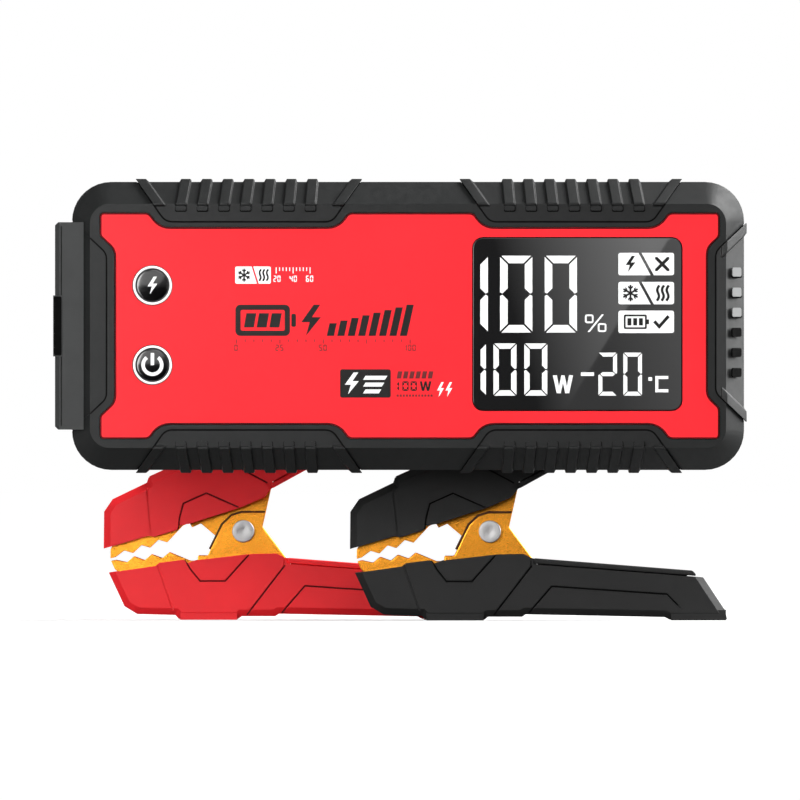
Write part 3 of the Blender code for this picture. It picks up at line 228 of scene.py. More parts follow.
def circuit(name, colour):
    """Printed board: solder mask over faint copper tracks, 6 mm apart."""
    made = Finish(name, colour, 0.4, Specular_IOR_Level=0.4)
    tracks = made.new("ShaderNodeTexBrick", made.source, Scale=1.0 / (6.0 * MM),
                      Mortar_Size=0.05)
    made.shade(made.noise(4.0), 0.15)
    made.bump(tracks.outputs["Fac"], 0.03)
    return made.material


def shrink_wrap(name, colour):
    made = Finish(name, colour, 0.3, Specular_IOR_Level=0.5)
    made.shade(made.noise(12.0), 0.1)
    made.bump(made.noise(5.0, 2.0, (1.0, 1.0, 4.0)), 0.08)
    return made.material


def clear_lens():
    """Clear plastic with level flutes that spread the lamp's light."""
    made = Finish("lamp_lens_clear", "C4C8CA", 0.12, Specular_IOR_Level=0.5, IOR=1.49,
                  Transmission_Weight=0.9)
    made.roughen(made.noise(2.0), 0.04)
    made.bump(made.noise(1.2, 1.0), 0.01)
    made.bump(made.noise(1.0, 0.0, (0.01, 0.01, 1.0)), 0.25)
    return made.material


def ink_or_painted_shade(name, colour, rough, specular, tint):
    """Ink, or painted shade of a gap, groove or edge drawn as ink: nearly without grain."""
    return moulded(name, colour, rough, depth=0.004, specular=specular, tint=tint)


CASE = moulded("case_black", "191A1A", 0.48, specular=0.17)
RUBBER = moulded("rubber_black", "141515", 0.52, grain=0.28, specular=0.2)
BUMPER = moulded("bumper_black", "1A1B1B", 0.5, grain=0.28, specular=0.36)
COVER = moulded("cover_black", "2F3030", 0.52, specular=0.17)
RED_PANEL = enamel("panel_red", "F5262F", 0.4, 0.05, 0.1)
RED_CLAMP = moulded("clamp_red", "E0232A", 0.42, grain=0.5, depth=0.012, specular=0.14,
                    tint=0.05)
BLACK_CLAMP = moulded("clamp_black", "1B1B1B", 0.46, grain=0.5, depth=0.012, specular=0.18)
CAP_BLACK = enamel("cap_gloss", "050506", 0.1, 0.8)
RING = enamel("ring_white", "F2F2F2", 0.35, 0.2)
WINDOW = glossy_window()
BRASS = metal("jaw_brass", "F6A031", 0.3, (1.0, 1.0, 9.0), 0.014)
STEEL = metal("pin_steel", "A9A8A8", 0.5, (6.0, 1.0, 6.0), 0.008)
SPRING_STEEL = metal("spring_steel", "8E9194", 0.3, (1.0, 5.0, 1.0), 0.006)
BOARD = circuit("board_green", "1F5A36")
MODULE = circuit("module_frame", "3C4043")
CELL = shrink_wrap("cell_wrap", "2C5FA8")
LENS = clear_lens()
SOCKET = moulded("socket_black", "161717", 0.45, grain=0.5, depth=0.01)
PRINT_WHITE = ink_or_painted_shade("print_white", "F4F4F4", 0.5, 0.3, 0.01)
PRINT_BLACK = ink_or_painted_shade("print_black", "0C0A09", 0.4, 0.22, 0.05)
PRINT_DARK_RED = ink_or_painted_shade("print_dark_red", "5C0A0E", 0.45, 0.3, 0.04)
# Painted shade: dark inks drawn where gaps, grooves and edges lie in shade
SHADE = ink_or_painted_shade("shade_black", "040404", 0.85, 0.05, 0.02)
SHADE_BROWN = ink_or_painted_shade("shade_brown", "4A2A0C", 0.6, 0.15, 0.04)
SHADE_RED = ink_or_painted_shade("shade_red", "4A0508", 0.7, 0.1, 0.04)
BAR_GREY = ink_or_painted_shade("bar_grey", "646565", 0.45, 0.35, 0.03)
CONTACT = metal("contact_gold", "E3B659", 0.25, (1.0, 1.0, 5.0), 0.004)
TONGUE = moulded("tongue_white", "DADCDD", 0.45, depth=0.006, specular=0.35, tint=0.03)
LAMP_WHITE = moulded("lamp_phosphor", "E6DE9A", 0.4, depth=0.01, specular=0.4, tint=0.05)

# An ink is a material, and a slot name that nothing here uses
WHITE_INK = (PRINT_WHITE, "ring_white")
BLACK_INK = (PRINT_BLACK, "gloss_black")
RED_INK = (PRINT_DARK_RED, "panel_red")
# The last two inks are painted shade in gaps, grooves and edges, not print
SHADE_INK = (SHADE, "gloss_black")
PANEL_SHADE_INK = (SHADE_RED, "panel_red")


# ---- CAD nodes


FLAT_ANGLE = math.radians(0.6)      # faces that meet flatter than this are one face
EDGE_ANGLE = math.radians(24.0)     # an edge sharper than this is rounded


def dress(names, material, edge, steps=2):
    """The CAD node as it is, with its edges rounded to this radius and its own material."""
    for name in names:
        node = frame["nodes"][name]
        for index in range(len(node.data.materials)):
            node.material_slots[index].material = material
        weld = node.modifiers.new("weld", "WELD")
        weld.merge_threshold = WELD * MM
        flat = node.modifiers.new("flat", "DECIMATE")
        flat.decimate_type = "DISSOLVE"
        flat.angle_limit = FLAT_ANGLE
        bevel = node.modifiers.new("edges", "BEVEL")
        bevel.width = edge * MM
        bevel.segments = steps
        bevel.limit_method = "ANGLE"
        bevel.angle_limit = EDGE_ANGLE
        bevel.miter_outer = "MITER_ARC"
        normals = node.modifiers.new("normals", "WEIGHTED_NORMAL")
        normals.keep_sharp = False
        normals.weight = 80


def dress_frame():
    dress(["front_housing", "rear_housing"], CASE, 0.35)
    dress(["grip_top_left", "grip_top_right", "grip_bottom_left", "grip_bottom_right"],
          RUBBER, 0.4)
    dress(["end_bumper"], BUMPER, 0.4)
    dress(["port_frame"], CASE, 0.3)
    dress(["port_cover"], COVER, 0.35)
    dress(["front_panel"], RED_PANEL, 0.2)
    dress(["display_window"], WINDOW, 0.2)
    dress(["lcd_module"], MODULE, 0.3)
    dress(["main_board", "lamp_board"], BOARD, 0.15)
    dress([f"battery_cell_{i}" for i in range(1, 5)], CELL, 0.5)
    dress([f"housing_screw_{i}" for i in range(1, 5)] + ["cover_hinge_pin"], STEEL, 0.15)
    dress(["jump_socket", "usb_a_socket", "usb_c_socket", "dc_socket"], SOCKET, 0.2)
    dress(["boost_switch", "power_switch"], SOCKET, 0.15)
    for colour, plastic in (("red", RED_CLAMP), ("black", BLACK_CLAMP)):
        for level in ("lower", "upper"):
            dress([f"{colour}_{level}_shell"], plastic, 0.22)
            dress([f"{colour}_{level}_lid"], plastic, 0.3)
            dress([f"{colour}_{level}_jaw"], BRASS, 0.4, 3)


# ---- outlines


def moved(place, u, v):
    return (place[0] + u, place[1] + v)


def at(corner, shape):
    """A shape's place, given from this corner, and then its sizes as they are."""
    place, *sizes = shape
    return (moved(corner, *place), *sizes)


def row(shape, count, pitch, place, *sizes):
    """The same shape a number of times, side by side."""
    return [shape(moved(place, pitch * k, 0.0), *sizes) for k in range(count)]


def mitred(points, offset, closed=False):
    """The path moved sideways by this offset, to the left of its direction."""
    shifted = []
    count = len(points)
    for i, point in enumerate(points):
        here = Vector(point)
        before = Vector(points[i - 1]) if closed or i else None
        after = Vector(points[(i + 1) % count]) if closed or i < count - 1 else None
        normals = []
        for start, end in ((before, here), (here, after)):
            if start is not None and end is not None:
                run = (end - start).normalized()
                normals.append(Vector((-run.y, run.x)))
        mean = sum(normals, Vector((0.0, 0.0))).normalized()
        shifted.append(here + mean * (offset / mean.dot(normals[0])))
    return shifted


def stroke(points, width):
    """Outline of a line of this width."""
    return mitred(points, -width / 2) + mitred(points, width / 2)[::-1]


def arc(centre, radius, steps, start, stop):
    return [Vector((centre[0] + radius * math.cos(start + (stop - start) * k / steps),
                    centre[1] + radius * math.sin(start + (stop - start) * k / steps)))
            for k in range(steps + 1)]


def rounded(low, high, radius, steps=6):
    """A rectangle with round corners."""
    corners = ((high[0], high[1]), (low[0], high[1]), (low[0], low[1]), (high[0], low[1]))
    outline = []
    for quarter, (x, z) in enumerate(corners):
        centre = (x - radius if x == high[0] else x + radius,
                  z - radius if z == high[1] else z + radius)
        start = quarter * math.pi / 2
        outline += arc(centre, radius, steps, start, start + math.pi / 2)
    return outline


def boxed(low, size, radius, steps=6):
    return rounded(low, moved(low, *size), radius, steps)


def framed(low, size, wall, radii, steps=6):
    """The outer and the inner outline of a rounded frame with this wall."""
    inner = (size[0] - 2 * wall, size[1] - 2 * wall)
    return (boxed(low, size, radii[0], steps),
            boxed(moved(low, wall, wall), inner, radii[1], steps))


def leaning(low, size, lean=0.0):
    """A bar whose top is this much further to the right than its foot."""
    (x, z), (width, height) = low, size
    return [(x, z), (x + width, z), (x + width + lean, z + height), (x + lean, z + height)]


def split_field(low, size, radius, steps, cut, gap):
    """A rounded field in two parts, with a slanted gap that crosses its top and its foot."""
    outline = boxed(low, size, radius, steps)
    high = moved(low, *size)
    top, foot = low[0] + cut[0], low[0] + cut[1]
    middle = ((low[0] + high[0]) / 2, (low[1] + high[1]) / 2)
    left = [p for p in outline if p.x < middle[0]]
    upper = [p for p in outline if p.x > middle[0] and p.y > middle[1]]
    lower = [p for p in outline if p.x > middle[0] and p.y < middle[1]]
    return [left + [Vector((foot - gap, low[1])), Vector((top - gap, high[1]))],
            upper + [Vector((top + gap, high[1])), Vector((foot + gap, low[1]))] + lower]


def fitted(points, low, size):
    """Points of the unit square, spread over a box of this size."""
    return [Vector((low[0] + size[0] * x, low[1] + size[1] * z)) for x, z in points]


def bolt(low, size):
    return fitted([(0.62, 1.0), (0.05, 0.44), (0.44, 0.44), (0.26, 0.0), (0.95, 0.60),
                   (0.54, 0.60), (0.92, 1.0)], low, size)


def letter_w(low, size):
    """A bold unit letter with flat feet."""
    return fitted([(0.0, 1.0), (0.2, 1.0), (0.3, 0.36), (0.42, 1.0), (0.58, 1.0), (0.7, 0.36),
                   (0.8, 1.0), (1.0, 1.0), (0.81, 0.0), (0.61, 0.0), (0.5, 0.6), (0.39, 0.0),
                   (0.19, 0.0)], low, size)


def letter_c(low, size, line):
    """A square unit letter."""
    half = line / 2
    path = ((size[0], size[1] - half), (half, size[1] - half), (half, half), (size[0], half))
    return stroke([moved(low, u, v) for u, v in path], line)


def percent(low, size, line):
    """The bar of a percent sign, and its two rings."""
    bar = fitted([(0.12, 0.0), (0.22, 0.0), (0.88, 1.0), (0.78, 1.0)], low, size)
    ring = (size[0] * 0.4, size[1] * 0.5)
    places = (moved(low, 0.0, size[1] - ring[1]), moved(low, size[0] - ring[0], 0.0))
    return bar, [framed(place, ring, line, (line * 1.3, line * 0.5), 4) for place in places]


def cross(centre, half, width):
    a, b = half, width / math.sqrt(2)
    quarter = [(a, a - b), (a, a), (a - b, a), (0.0, b)]
    points = []
    for turn in range(4):
        c, s = round(math.cos(turn * math.pi / 2)), round(math.sin(turn * math.pi / 2))
        points += [moved(centre, c * x - s * z, s * x + c * z) for x, z in quarter]
    return points


def snowflake(centre, radius, width):
    """Six arms that meet in the middle, each with a pair of barbs."""
    a, root, barb, base = width / 2, width / 2 * math.sqrt(3), radius * 0.3, radius * 0.5
    side = [(a, root), (a, base), (barb, base + barb - a), (barb, base + barb + width - a),
            (a, base + width * 1.2), (a, radius)]
    arm = [(0.0, 0.0)] + side + [(-x, z) for x, z in side[::-1]]
    turns = [Matrix.Rotation(k * math.pi / 3, 2) for k in range(6)]
    return [[Vector(centre) + turn @ Vector(p) for p in arm] for turn in turns]


def heat_waves(low, size, width):
    """Three rising S-shaped lines, leaning to the right."""
    waves = []
    pitch = (size[0] - width * 2.2) / 2
    steps = 14
    for k in range(3):
        line = []
        for t in (i / steps for i in range(steps + 1)):
            sway = width * (t + 0.55 * math.sin(math.tau * t))
            line.append(moved(low, width * 0.6 + k * pitch + sway, size[1] * t))
        waves.append(stroke(line, width))
    return waves


SEGMENT_GAP = 0.17           # between two segments of a figure, as a share of their width
LIT = {"0": "abcdef", "1": "bc", "2": "abged", "4": "fgbc", "5": "afgcd", "6": "afgedc"}


def seven_segments(figure, low, size, line):
    """The lit segments of a display figure, its line as wide as a segment."""
    width, height = size
    gap, half, middle = line * SEGMENT_GAP, line / 2, height / 2
    top = [(gap, height), (width - gap, height), (width - gap - line, height - line),
           (gap + line, height - line)]
    upper = [(0.0, height - gap), (line, height - gap - line), (line, middle + gap + half * 1.2),
             (line * 0.3, middle + gap / 2), (0.0, middle + gap / 2 + line * 0.15)]
    tip = line + gap / 2
    bar = [(half, middle + gap / 4), (tip, middle + half), (width - tip, middle + half),
           (width - half, middle + gap / 4), (width - tip, middle - half), (tip, middle - half)]

    def across(points):
        return [(width - x, z) for x, z in points]

    def down(points):
        return [(x, height - z) for x, z in points]

    segments = {"a": top, "f": upper, "b": across(upper), "e": down(upper),
                "c": across(down(upper)), "d": down(top), "g": bar}
    return [[Vector(moved(low, x, z)) for x, z in segments[key]] for key in LIT[figure]]


def number(text, low, pitch, size, line):
    """Plain figures in a row."""
    return [part for i, figure in enumerate(text)
            for part in seven_segments(figure, moved(low, pitch * i, 0.0), size, line)]


def ticks(start, pitch, count, heights, width):
    """A scale's marks, hanging from the line that begins at start: each fifth is taller."""
    marks = []
    for k in range(count):
        tall = heights[0] if k % 5 == 0 else heights[1]
        marks.append(leaning(moved(start, pitch * k, -tall), (width, tall)))
    return marks


# ---- solids


def counter_clockwise(outline):
    outline = [Vector(p) for p in outline]
    area = sum(a.x * b.y - b.x * a.y for a, b in zip(outline, outline[1:] + outline[:1]))
    return outline if area > 0 else outline[::-1]


def slab(mesh, outline, front, back):
    """A closed plate between two y places, its outline seen from the front."""
    outline = counter_clockwise(outline)
    fore = [mesh.verts.new((p.x, front, p.y)) for p in outline]
    rear = [mesh.verts.new((p.x, back, p.y)) for p in outline]
    mesh.faces.new(fore)
    mesh.faces.new(rear[::-1])
    for i in range(len(outline)):
        j = (i + 1) % len(outline)
        mesh.faces.new((fore[j], fore[i], rear[i], rear[j]))


def skin(mesh, loops):
    """Faces between each loop of points and the next."""
    for a, b in zip(loops, loops[1:]):
        for i in range(len(a)):
            j = (i + 1) % len(a)
            mesh.faces.new((a[i], a[j], b[j], b[i]))


def ring_slab(mesh, outer, inner, front, back):
    """A closed plate with one hole; both outlines have the same number of points."""
    outer, inner = counter_clockwise(outer), counter_clockwise(inner)
    loops = [[mesh.verts.new((p.x, y, p.y)) for p in line]
             for line, y in ((outer, front), (inner, front), (inner, back), (outer, back))]
    skin(mesh, loops + loops[:1])


def quarter_turn(steps):
    """Sine, and one less the cosine, at even steps over a quarter turn."""
    angles = [math.pi / 2 * k / steps for k in range(1, steps + 1)]
    return [(math.sin(a), 1 - math.cos(a)) for a in angles]


def lathe(mesh, profile, centre, axis="Y", steps=ROUND_STEPS):
    """A closed solid of revolution; the profile is (radius, place along the axis)."""
    loops = []
    for radius, along in profile:
        loop = []
        for k in range(steps if radius > 0.0 else 1):
            angle = math.tau * k / steps
            u, v = radius * math.cos(angle), radius * math.sin(angle)
            place = Vector((u, along, v)) if axis == "Y" else Vector((along, u, v))
            loop.append(mesh.verts.new(Vector(centre) + place))
        loops.append(loop)
    for a, b in zip(loops, loops[1:]):
        for k in range(steps):
            n = (k + 1) % steps
            corners = [a[k % len(a)], a[n % len(a)], b[n % len(b)], b[k % len(b)]]
            mesh.faces.new(list(dict.fromkeys(corners)))


def add_object(name, data):
    made = bpy.data.objects.new(name, data)
    bpy.context.scene.collection.objects.link(made)
    return made


def finish_piece(name, mesh, material, body, smooth=35.0, stands_for=()):
    """The mesh, in millimetres, as a piece that rides on this body.

    Edges flatter than smooth, in degrees, look round."""
    bmesh.ops.recalc_face_normals(mesh, faces=mesh.faces)
    if mesh.calc_volume(signed=True) < 0:
        bmesh.ops.reverse_faces(mesh, faces=mesh.faces)
    for edge in mesh.edges:
        edge.smooth = edge.calc_face_angle(0.0) < math.radians(smooth)
    for face in mesh.faces:
        face.smooth = True
    bmesh.ops.scale(mesh, vec=(MM, MM, MM), verts=mesh.verts)
    data = bpy.data.meshes.new(name)
    mesh.to_mesh(data)
    mesh.free()
    data.materials.append(material)
    made = add_object(name, data)
    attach(made, body)
    if stands_for:
        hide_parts(*stands_for)


FLAT_SMOOTH = 20.0           # a plate's own edges stay sharp
INK = 0.05                   # a print stands this far off its surface
INK_OVER = 0.09              # and a print on top of another one
SUNK = 0.03                  # how far a print reaches into its surface


def print_or_shade_piece(name, outlines, ink, face, body="pack", rise=INK, sunk=SUNK, rings=()):
    """Ink or painted shade on a face that looks to -Y: one thin closed solid for each outline and
    ring.
    """
    mesh = bmesh.new()
    for outline in outlines:
        slab(mesh, outline, face - rise, face + sunk)
    for outer, inner in rings:
        ring_slab(mesh, outer, inner, face - rise, face + sunk)
    material, slot = ink
    finish_piece(name, mesh, material, body, smooth=FLAT_SMOOTH)


def plate_piece(name, plates, material, body):
    """Closed plates as one piece: each is an outline and its two y places."""
    mesh = bmesh.new()
    for outline, y_places in plates:
        slab(mesh, outline, *sorted(y_places))
    finish_piece(name, mesh, material, body, smooth=FLAT_SMOOTH)


# ---- display figures


# Rows of figures: the left edge, width and figure of each, then height, line and foot
FIGURE_ROWS = (
    (((2.35, 2.55, "1"), (8.95, 10.65, "0"), (23.7, 10.65, "0")), 25.4, 2.5, 25.7),
    (((2.35, 1.9, "1"), (6.75, 7.6, "0"), (16.95, 7.6, "0")), 17.25, 1.75, 4.85),
    (((41.45, 6.15, "2"), (49.7, 6.15, "0")), 14.2, 1.3, 4.85),
)
# Signs on the screen: place, size, and the line, or the round of the corners and its steps
PERCENT = ((37.0, 25.9), (7.1, 5.8), 0.55)
WATT = ((26.4, 5.65), (6.65, 5.9))
MINUS = ((35.65, 11.35), (4.35, 1.2), 0.1, 2)
DEGREE = ((57.95, 9.75), (1.25, 1.2), 0.2, 2)
CELSIUS = ((60.25, 5.95), (4.3, 5.4), 1.0)


def display_figures():
    """Charge, power and temperature in lit figures, with their signs."""
    parts = []
    for figures, height, line, foot in FIGURE_ROWS:
        for left, width, figure in figures:
            full = width if figure != "1" else 4 * line
            low = moved(SCREEN, left - (full - width), foot)
            parts += seven_segments(figure, low, (full, height), line)
    bar, rings = percent(*at(SCREEN, PERCENT))
    parts += [bar, letter_w(*at(SCREEN, WATT)), letter_c(*at(SCREEN, CELSIUS))]
    parts += [boxed(*at(SCREEN, sign)) for sign in (MINUS, DEGREE)]
    print_or_shade_piece("display_figures", parts, WHITE_INK, SCREEN_LOW.y, rings=rings)


FIELD_LEFT = 48.05           # the status fields on the screen
FIELD_FEET = (44.65, 35.05, 25.55)
FIELD_SIZE = (18.4, 7.4)
FIELD_ROUND = 0.7
FIELD_CUT = (7.15, 11.2)     # where the slanted gap meets the field's top and its foot
FIELD_GAP = 0.55             # half the gap's width
# Marks in the fields: the place, the size or the reach, and the line or the round
JUMP_BOLT = ((2.2, 1.0), (3.6, 5.4))
JUMP_CROSS = ((14.5, 3.7), 2.35, 1.05)
SNOW = ((4.0, 3.7), 2.75, 0.62)
WAVES = ((12.2, 1.15), (5.0, 5.1), 0.85)
CHECK = ((11.9, 3.9), (13.5, 2.1), (16.6, 5.6))
CHECK_LINE = 1.05
CELL_BAR = ((3.0, 2.5), (1.3, 2.4), 0.15, 2)
CELL_PITCH = 1.9
CELL_TIP = ((9.35, 2.9), (0.8, 1.6), 0.15, 2)
CELL_FRAME = ((1.8, 1.3), (7.6, 4.8), 0.6, (0.5, 0.2))


def status_fields():
    """Three lit fields with dark marks: jump ready, pre-heating, and a charge check."""
    face = SCREEN_LOW.y
    jump, heat, ready = [moved(SCREEN, FIELD_LEFT, foot) for foot in FIELD_FEET]
    fields = [part for low in (jump, heat)
              for part in split_field(low, FIELD_SIZE, FIELD_ROUND, 6, FIELD_CUT, FIELD_GAP)]
    print_or_shade_piece("status_fields", fields + [boxed(ready, FIELD_SIZE, FIELD_ROUND)], WHITE_INK, face)
    marks = [bolt(*at(jump, JUMP_BOLT)), cross(*at(jump, JUMP_CROSS)),
             boxed(*at(ready, CELL_TIP)), stroke([moved(ready, *p) for p in CHECK], CHECK_LINE)]
    marks += snowflake(*at(heat, SNOW)) + heat_waves(*at(heat, WAVES))
    marks += row(boxed, 3, CELL_PITCH, *at(ready, CELL_BAR))
    print_or_shade_piece("status_marks", marks, BLACK_INK, face, rise=INK_OVER)
    print_or_shade_piece("status_battery", [], BLACK_INK, face, rise=INK_OVER,
                rings=[framed(*at(ready, CELL_FRAME))])


# ---- panel prints, and the painted shade round the panel


# A print has a place from the panel's middle, and what it holds is placed from that corner.
# A scale has a start, a pitch, how many marks, the tall and the short mark, and their width
HEAT_PLACE = (-57.7, 13.95)
HEAT_FIELD = ((11.8, 5.7), 0.5, 3, (5.7, 7.5), 0.28)
HEAT_SNOW = ((2.95, 2.85), 2.15, 0.5)
HEAT_WAVES = ((7.6, 0.95), (3.7, 3.8), 0.6)
HEAT_SCALE = ((13.4, 5.4), 1.12, 11, (2.0, 1.2), 0.32)
HEAT_NUMBERS = ((12.6, "20"), (18.0, "40"), (23.4, "60"))
SMALL_PITCH = 1.35
SMALL_FIGURE = (2.1, 0.34)   # height and line of the smallest figures

CHARGE_PLACE = (-57.6, -3.3)
CHARGE_HEIGHT = 10.3
CHARGE_FRAME = ((0.0, 0.0), (18.0, CHARGE_HEIGHT), 1.7, (1.6, 0.6))
CHARGE_TIP = ((18.5, 3.0), (1.5, 4.3), 0.5, 3)
CHARGE_CELL = ((2.8, 2.8), (3.28, 4.7), 0.82)
CHARGE_PITCH = 4.2
CHARGE_BOLT = ((21.4, 0.0), (7.2, CHARGE_HEIGHT))
CHARGE_BARS = (30.2, 3.45, 8, 2.35, 4.2, 0.22)  # start, pitch, count, width, lowest, slant

GAUGE_PLACE = (-57.4, -7.4)
GAUGE_SCALE = ((0.0, 2.9), 2.87, 21, (1.35, 0.8), 0.3)
GAUGE_PITCH = 1.5

BADGE_PLACE = (-23.0, -23.7)
BADGE_SIZE = (16.75, 9.35)
BADGE_BOLT = ((1.3, 1.1), (5.1, 7.2))
BADGE_STRIPES = ((7.6, 5.9), 1.3, 0.8, 2.25)    # top one's place, height, lean and pitch
STRIPE_REACH = (15.6, 14.6, 13.6)

POWER_PLACE = (-4.3, -17.4)
POWER_BARS = (6, 2.05)       # count and pitch
POWER_BAR = ((0.0, 0.0), (1.45, 2.4), 0.45)
POWER_DOTS = (12, 1.02)
POWER_DOT = ((0.0, -6.0), (0.65, 0.7))
POWER_FIGURES = ((-1.6, 2.4, "1"), (1.85, 2.1, "0"), (4.6, 2.1, "0"))
POWER_LINE = 0.62
POWER_UNIT = ((7.6, -4.1), (3.9, 3.2))
POWER_BOLTS = (2, 2.75)
POWER_BOLT = ((8.95, -23.5), (2.5, 4.9))     # from the panel's middle


def heat_pictogram():
    """White field with a snowflake and heat waves, and a white scale beside it."""
    face = PANEL_LOW.y
    low = moved(PANEL, *HEAT_PLACE)
    print_or_shade_piece("heat_field", split_field(low, *HEAT_FIELD), WHITE_INK, face)
    marks = snowflake(*at(low, HEAT_SNOW)) + heat_waves(*at(low, HEAT_WAVES))
    print_or_shade_piece("heat_marks", marks, BLACK_INK, face, rise=INK_OVER)
    height, line = SMALL_FIGURE
    scale = ticks(*at(low, HEAT_SCALE))
    for u, text in HEAT_NUMBERS:
        scale += number(text, moved(low, u, 0.6), SMALL_PITCH, (1.05, height), line)
    print_or_shade_piece("heat_scale", scale, WHITE_INK, face)


def charge_graphic():
    """The large dark print left of the screen: a battery, a bolt and a rising gauge."""
    low = moved(PANEL, *CHARGE_PLACE)
    parts = [boxed(*at(low, CHARGE_TIP)), bolt(*at(low, CHARGE_BOLT))]
    parts += row(leaning, 3, CHARGE_PITCH, *at(low, CHARGE_CELL))
    start, pitch, count, width, lowest, slant = CHARGE_BARS
    for k in range(count):
        rise = lowest + (CHARGE_HEIGHT - lowest) * k / (count - 1)
        parts.append(leaning(moved(low, start + pitch * k, 0.0), (width, rise), rise * slant))
    print_or_shade_piece("charge_graphic", parts, BLACK_INK, PANEL_LOW.y,
                rings=[framed(*at(low, CHARGE_FRAME))])


def gauge_scale():
    """A small dark scale under the large print, with plain numbers."""
    low = moved(PANEL, *GAUGE_PLACE)
    height, line = SMALL_FIGURE
    marks = ticks(*at(low, GAUGE_SCALE))
    for k, text in enumerate(("0", "25", "50", "", "100")):
        left = GAUGE_SCALE[1] * 5 * k + 0.15 - GAUGE_PITCH * len(text) / 2
        marks += number(text, moved(low, left, -0.9), GAUGE_PITCH, (1.15, height), line)
    print_or_shade_piece("gauge_scale", marks, RED_INK, PANEL_LOW.y)


def badge():
    """Black badge with a bolt and slanted stripes."""
    face = PANEL_LOW.y
    low = moved(PANEL, *BADGE_PLACE)
    print_or_shade_piece("badge_field", [boxed(low, BADGE_SIZE, 0.7)], BLACK_INK, face)
    marks = [bolt(*at(low, BADGE_BOLT))]
    (u, v), height, lean, pitch = BADGE_STRIPES
    for k, reach in enumerate(STRIPE_REACH):
        marks.append(leaning(moved(low, u, v - pitch * k), (reach - lean - u, height), lean))
    print_or_shade_piece("badge_marks", marks, WHITE_INK, face, rise=INK_OVER)


def power_print():
    """Plain numbers with a unit letter beside the badge, bars over them and dots below."""
    face = PANEL_LOW.y
    low = moved(PANEL, *POWER_PLACE)
    bars = row(leaning, *POWER_BARS, *at(low, POWER_BAR))
    bars += row(leaning, *POWER_DOTS, *at(low, POWER_DOT))
    print_or_shade_piece("power_bars", bars, RED_INK, face)
    figures = [letter_w(*at(low, POWER_UNIT))]
    (_, foot), (_, height) = POWER_UNIT
    for u, width, figure in POWER_FIGURES:
        figures += seven_segments(figure, moved(low, u, foot), (width, height), POWER_LINE)
    print_or_shade_piece("power_figures", figures, BLACK_INK, face)
    print_or_shade_piece("power_bolts", row(bolt, *POWER_BOLTS, *at(PANEL, POWER_BOLT)), WHITE_INK, face)


FRONT_SLACK = 0.01           # a point this near to the front lies on it


def front_edge(name):
    """The outline of a CAD node's front face: the longest of the loops that bound it."""
    mesh = bmesh.new()
    mesh.from_mesh(frame["nodes"][name].data)
    bmesh.ops.remove_doubles(mesh, verts=mesh.verts, dist=WELD * MM)
    front = node_box(name)[0].y * MM
    turn = frame["nodes"][name].matrix_world
    flat = [face for face in mesh.faces
            if all(abs((turn @ v.co).y - front) < FRONT_SLACK * MM for v in face.verts)]
    after = {}
    for face in flat:
        for loop in face.loops:
            if sum(other in flat for other in loop.edge.link_faces) == 1:
                after[loop.vert] = loop.link_loop_next.vert
    longest = []
    while after:
        start, here = after.popitem()
        line = [start]
        while here is not start:
            line.append(here)
            here = after.pop(here)
        longest = max(longest, line, key=len)
    places = [turn @ v.co / MM for v in longest]
    mesh.free()
    return [Vector((p.x, p.z)) for p in places]


PANEL_SHADE_INSETS = (0.04, 0.42)    # painted shade of the gap round the panel, from the panel's outline inward


def panel_shade_ring():
    """A dark red band of painted shade in the gap round the panel, all round its outline."""
    outline = counter_clockwise(front_edge("front_panel"))
    ring = [mitred(outline, inset, closed=True) for inset in PANEL_SHADE_INSETS]
    print_or_shade_piece("panel_shade_ring", [], PANEL_SHADE_INK, PANEL_LOW.y, rings=[ring])


# ---- buttons


CAP_DOME = 0.25              # how far the cap's face domes
CAP_ROUND = 0.45             # the round at the cap's rim
FLANGE = (1.3, 3.0)          # its reach past the cap, and its place before the cap's rear
STEM_RADIUS = 1.6
RING_WALL = 0.8
RING_ROUND = 0.25
BOLT_MARK = (3.5, 5.8)
MARK_SUNK = {"boost": 0.25, "power": 0.3}       # how far a mark reaches into the domed cap
POWER_MARK = (3.65, 1.15)    # outer radius and line of the power sign
POWER_OPENING = math.radians(38)
POWER_STEM = (-0.1, 3.95)    # from below the middle to its top


def button_cap(name):
    """Domed gloss cap on its flange and stem; returns its middle and its front."""
    low, high, centre = node_box(name)
    reach, depth = FLANGE
    radius = (high.x - low.x) / 2 - reach
    front, back = low.y - centre.y, high.y - centre.y
    face, flange, steps = radius - CAP_ROUND, back - depth, 8
    profile = [(face * k / steps, front + CAP_DOME * (k / steps) ** 2) for k in range(steps + 1)]
    profile += [(face + CAP_ROUND * s, front + CAP_DOME + CAP_ROUND * c) for s, c in quarter_turn(5)]
    profile += [(radius, flange), (radius + reach - 0.2, flange), (radius + reach, flange + 0.2),
                (radius + reach, flange + 1.0), (STEM_RADIUS, flange + 1.2),
                (STEM_RADIUS, back), (0.0, back)]
    mesh = bmesh.new()
    lathe(mesh, profile, centre)
    finish_piece(f"{name}_cap", mesh, CAP_BLACK, name, stands_for=[name])
    return centre, low.y


def trim_ring(name):
    low, high, centre = node_box(name)
    outer = (high.x - low.x) / 2
    inner = outer - RING_WALL
    front, back, r = low.y - centre.y, high.y - centre.y, RING_ROUND
    turn = quarter_turn(4)
    profile = [(inner, back), (inner, front + r)]
    profile += [(inner + r * c, front + r * (1 - s)) for s, c in turn]
    profile += [(outer - r * (1 - s), front + r * c) for s, c in turn]
    profile += [(outer, back), (inner, back)]
    mesh = bmesh.new()
    lathe(mesh, profile, centre)
    bmesh.ops.remove_doubles(mesh, verts=mesh.verts, dist=1e-4)
    finish_piece(f"{name}_trim", mesh, RING, "pack", stands_for=[name])


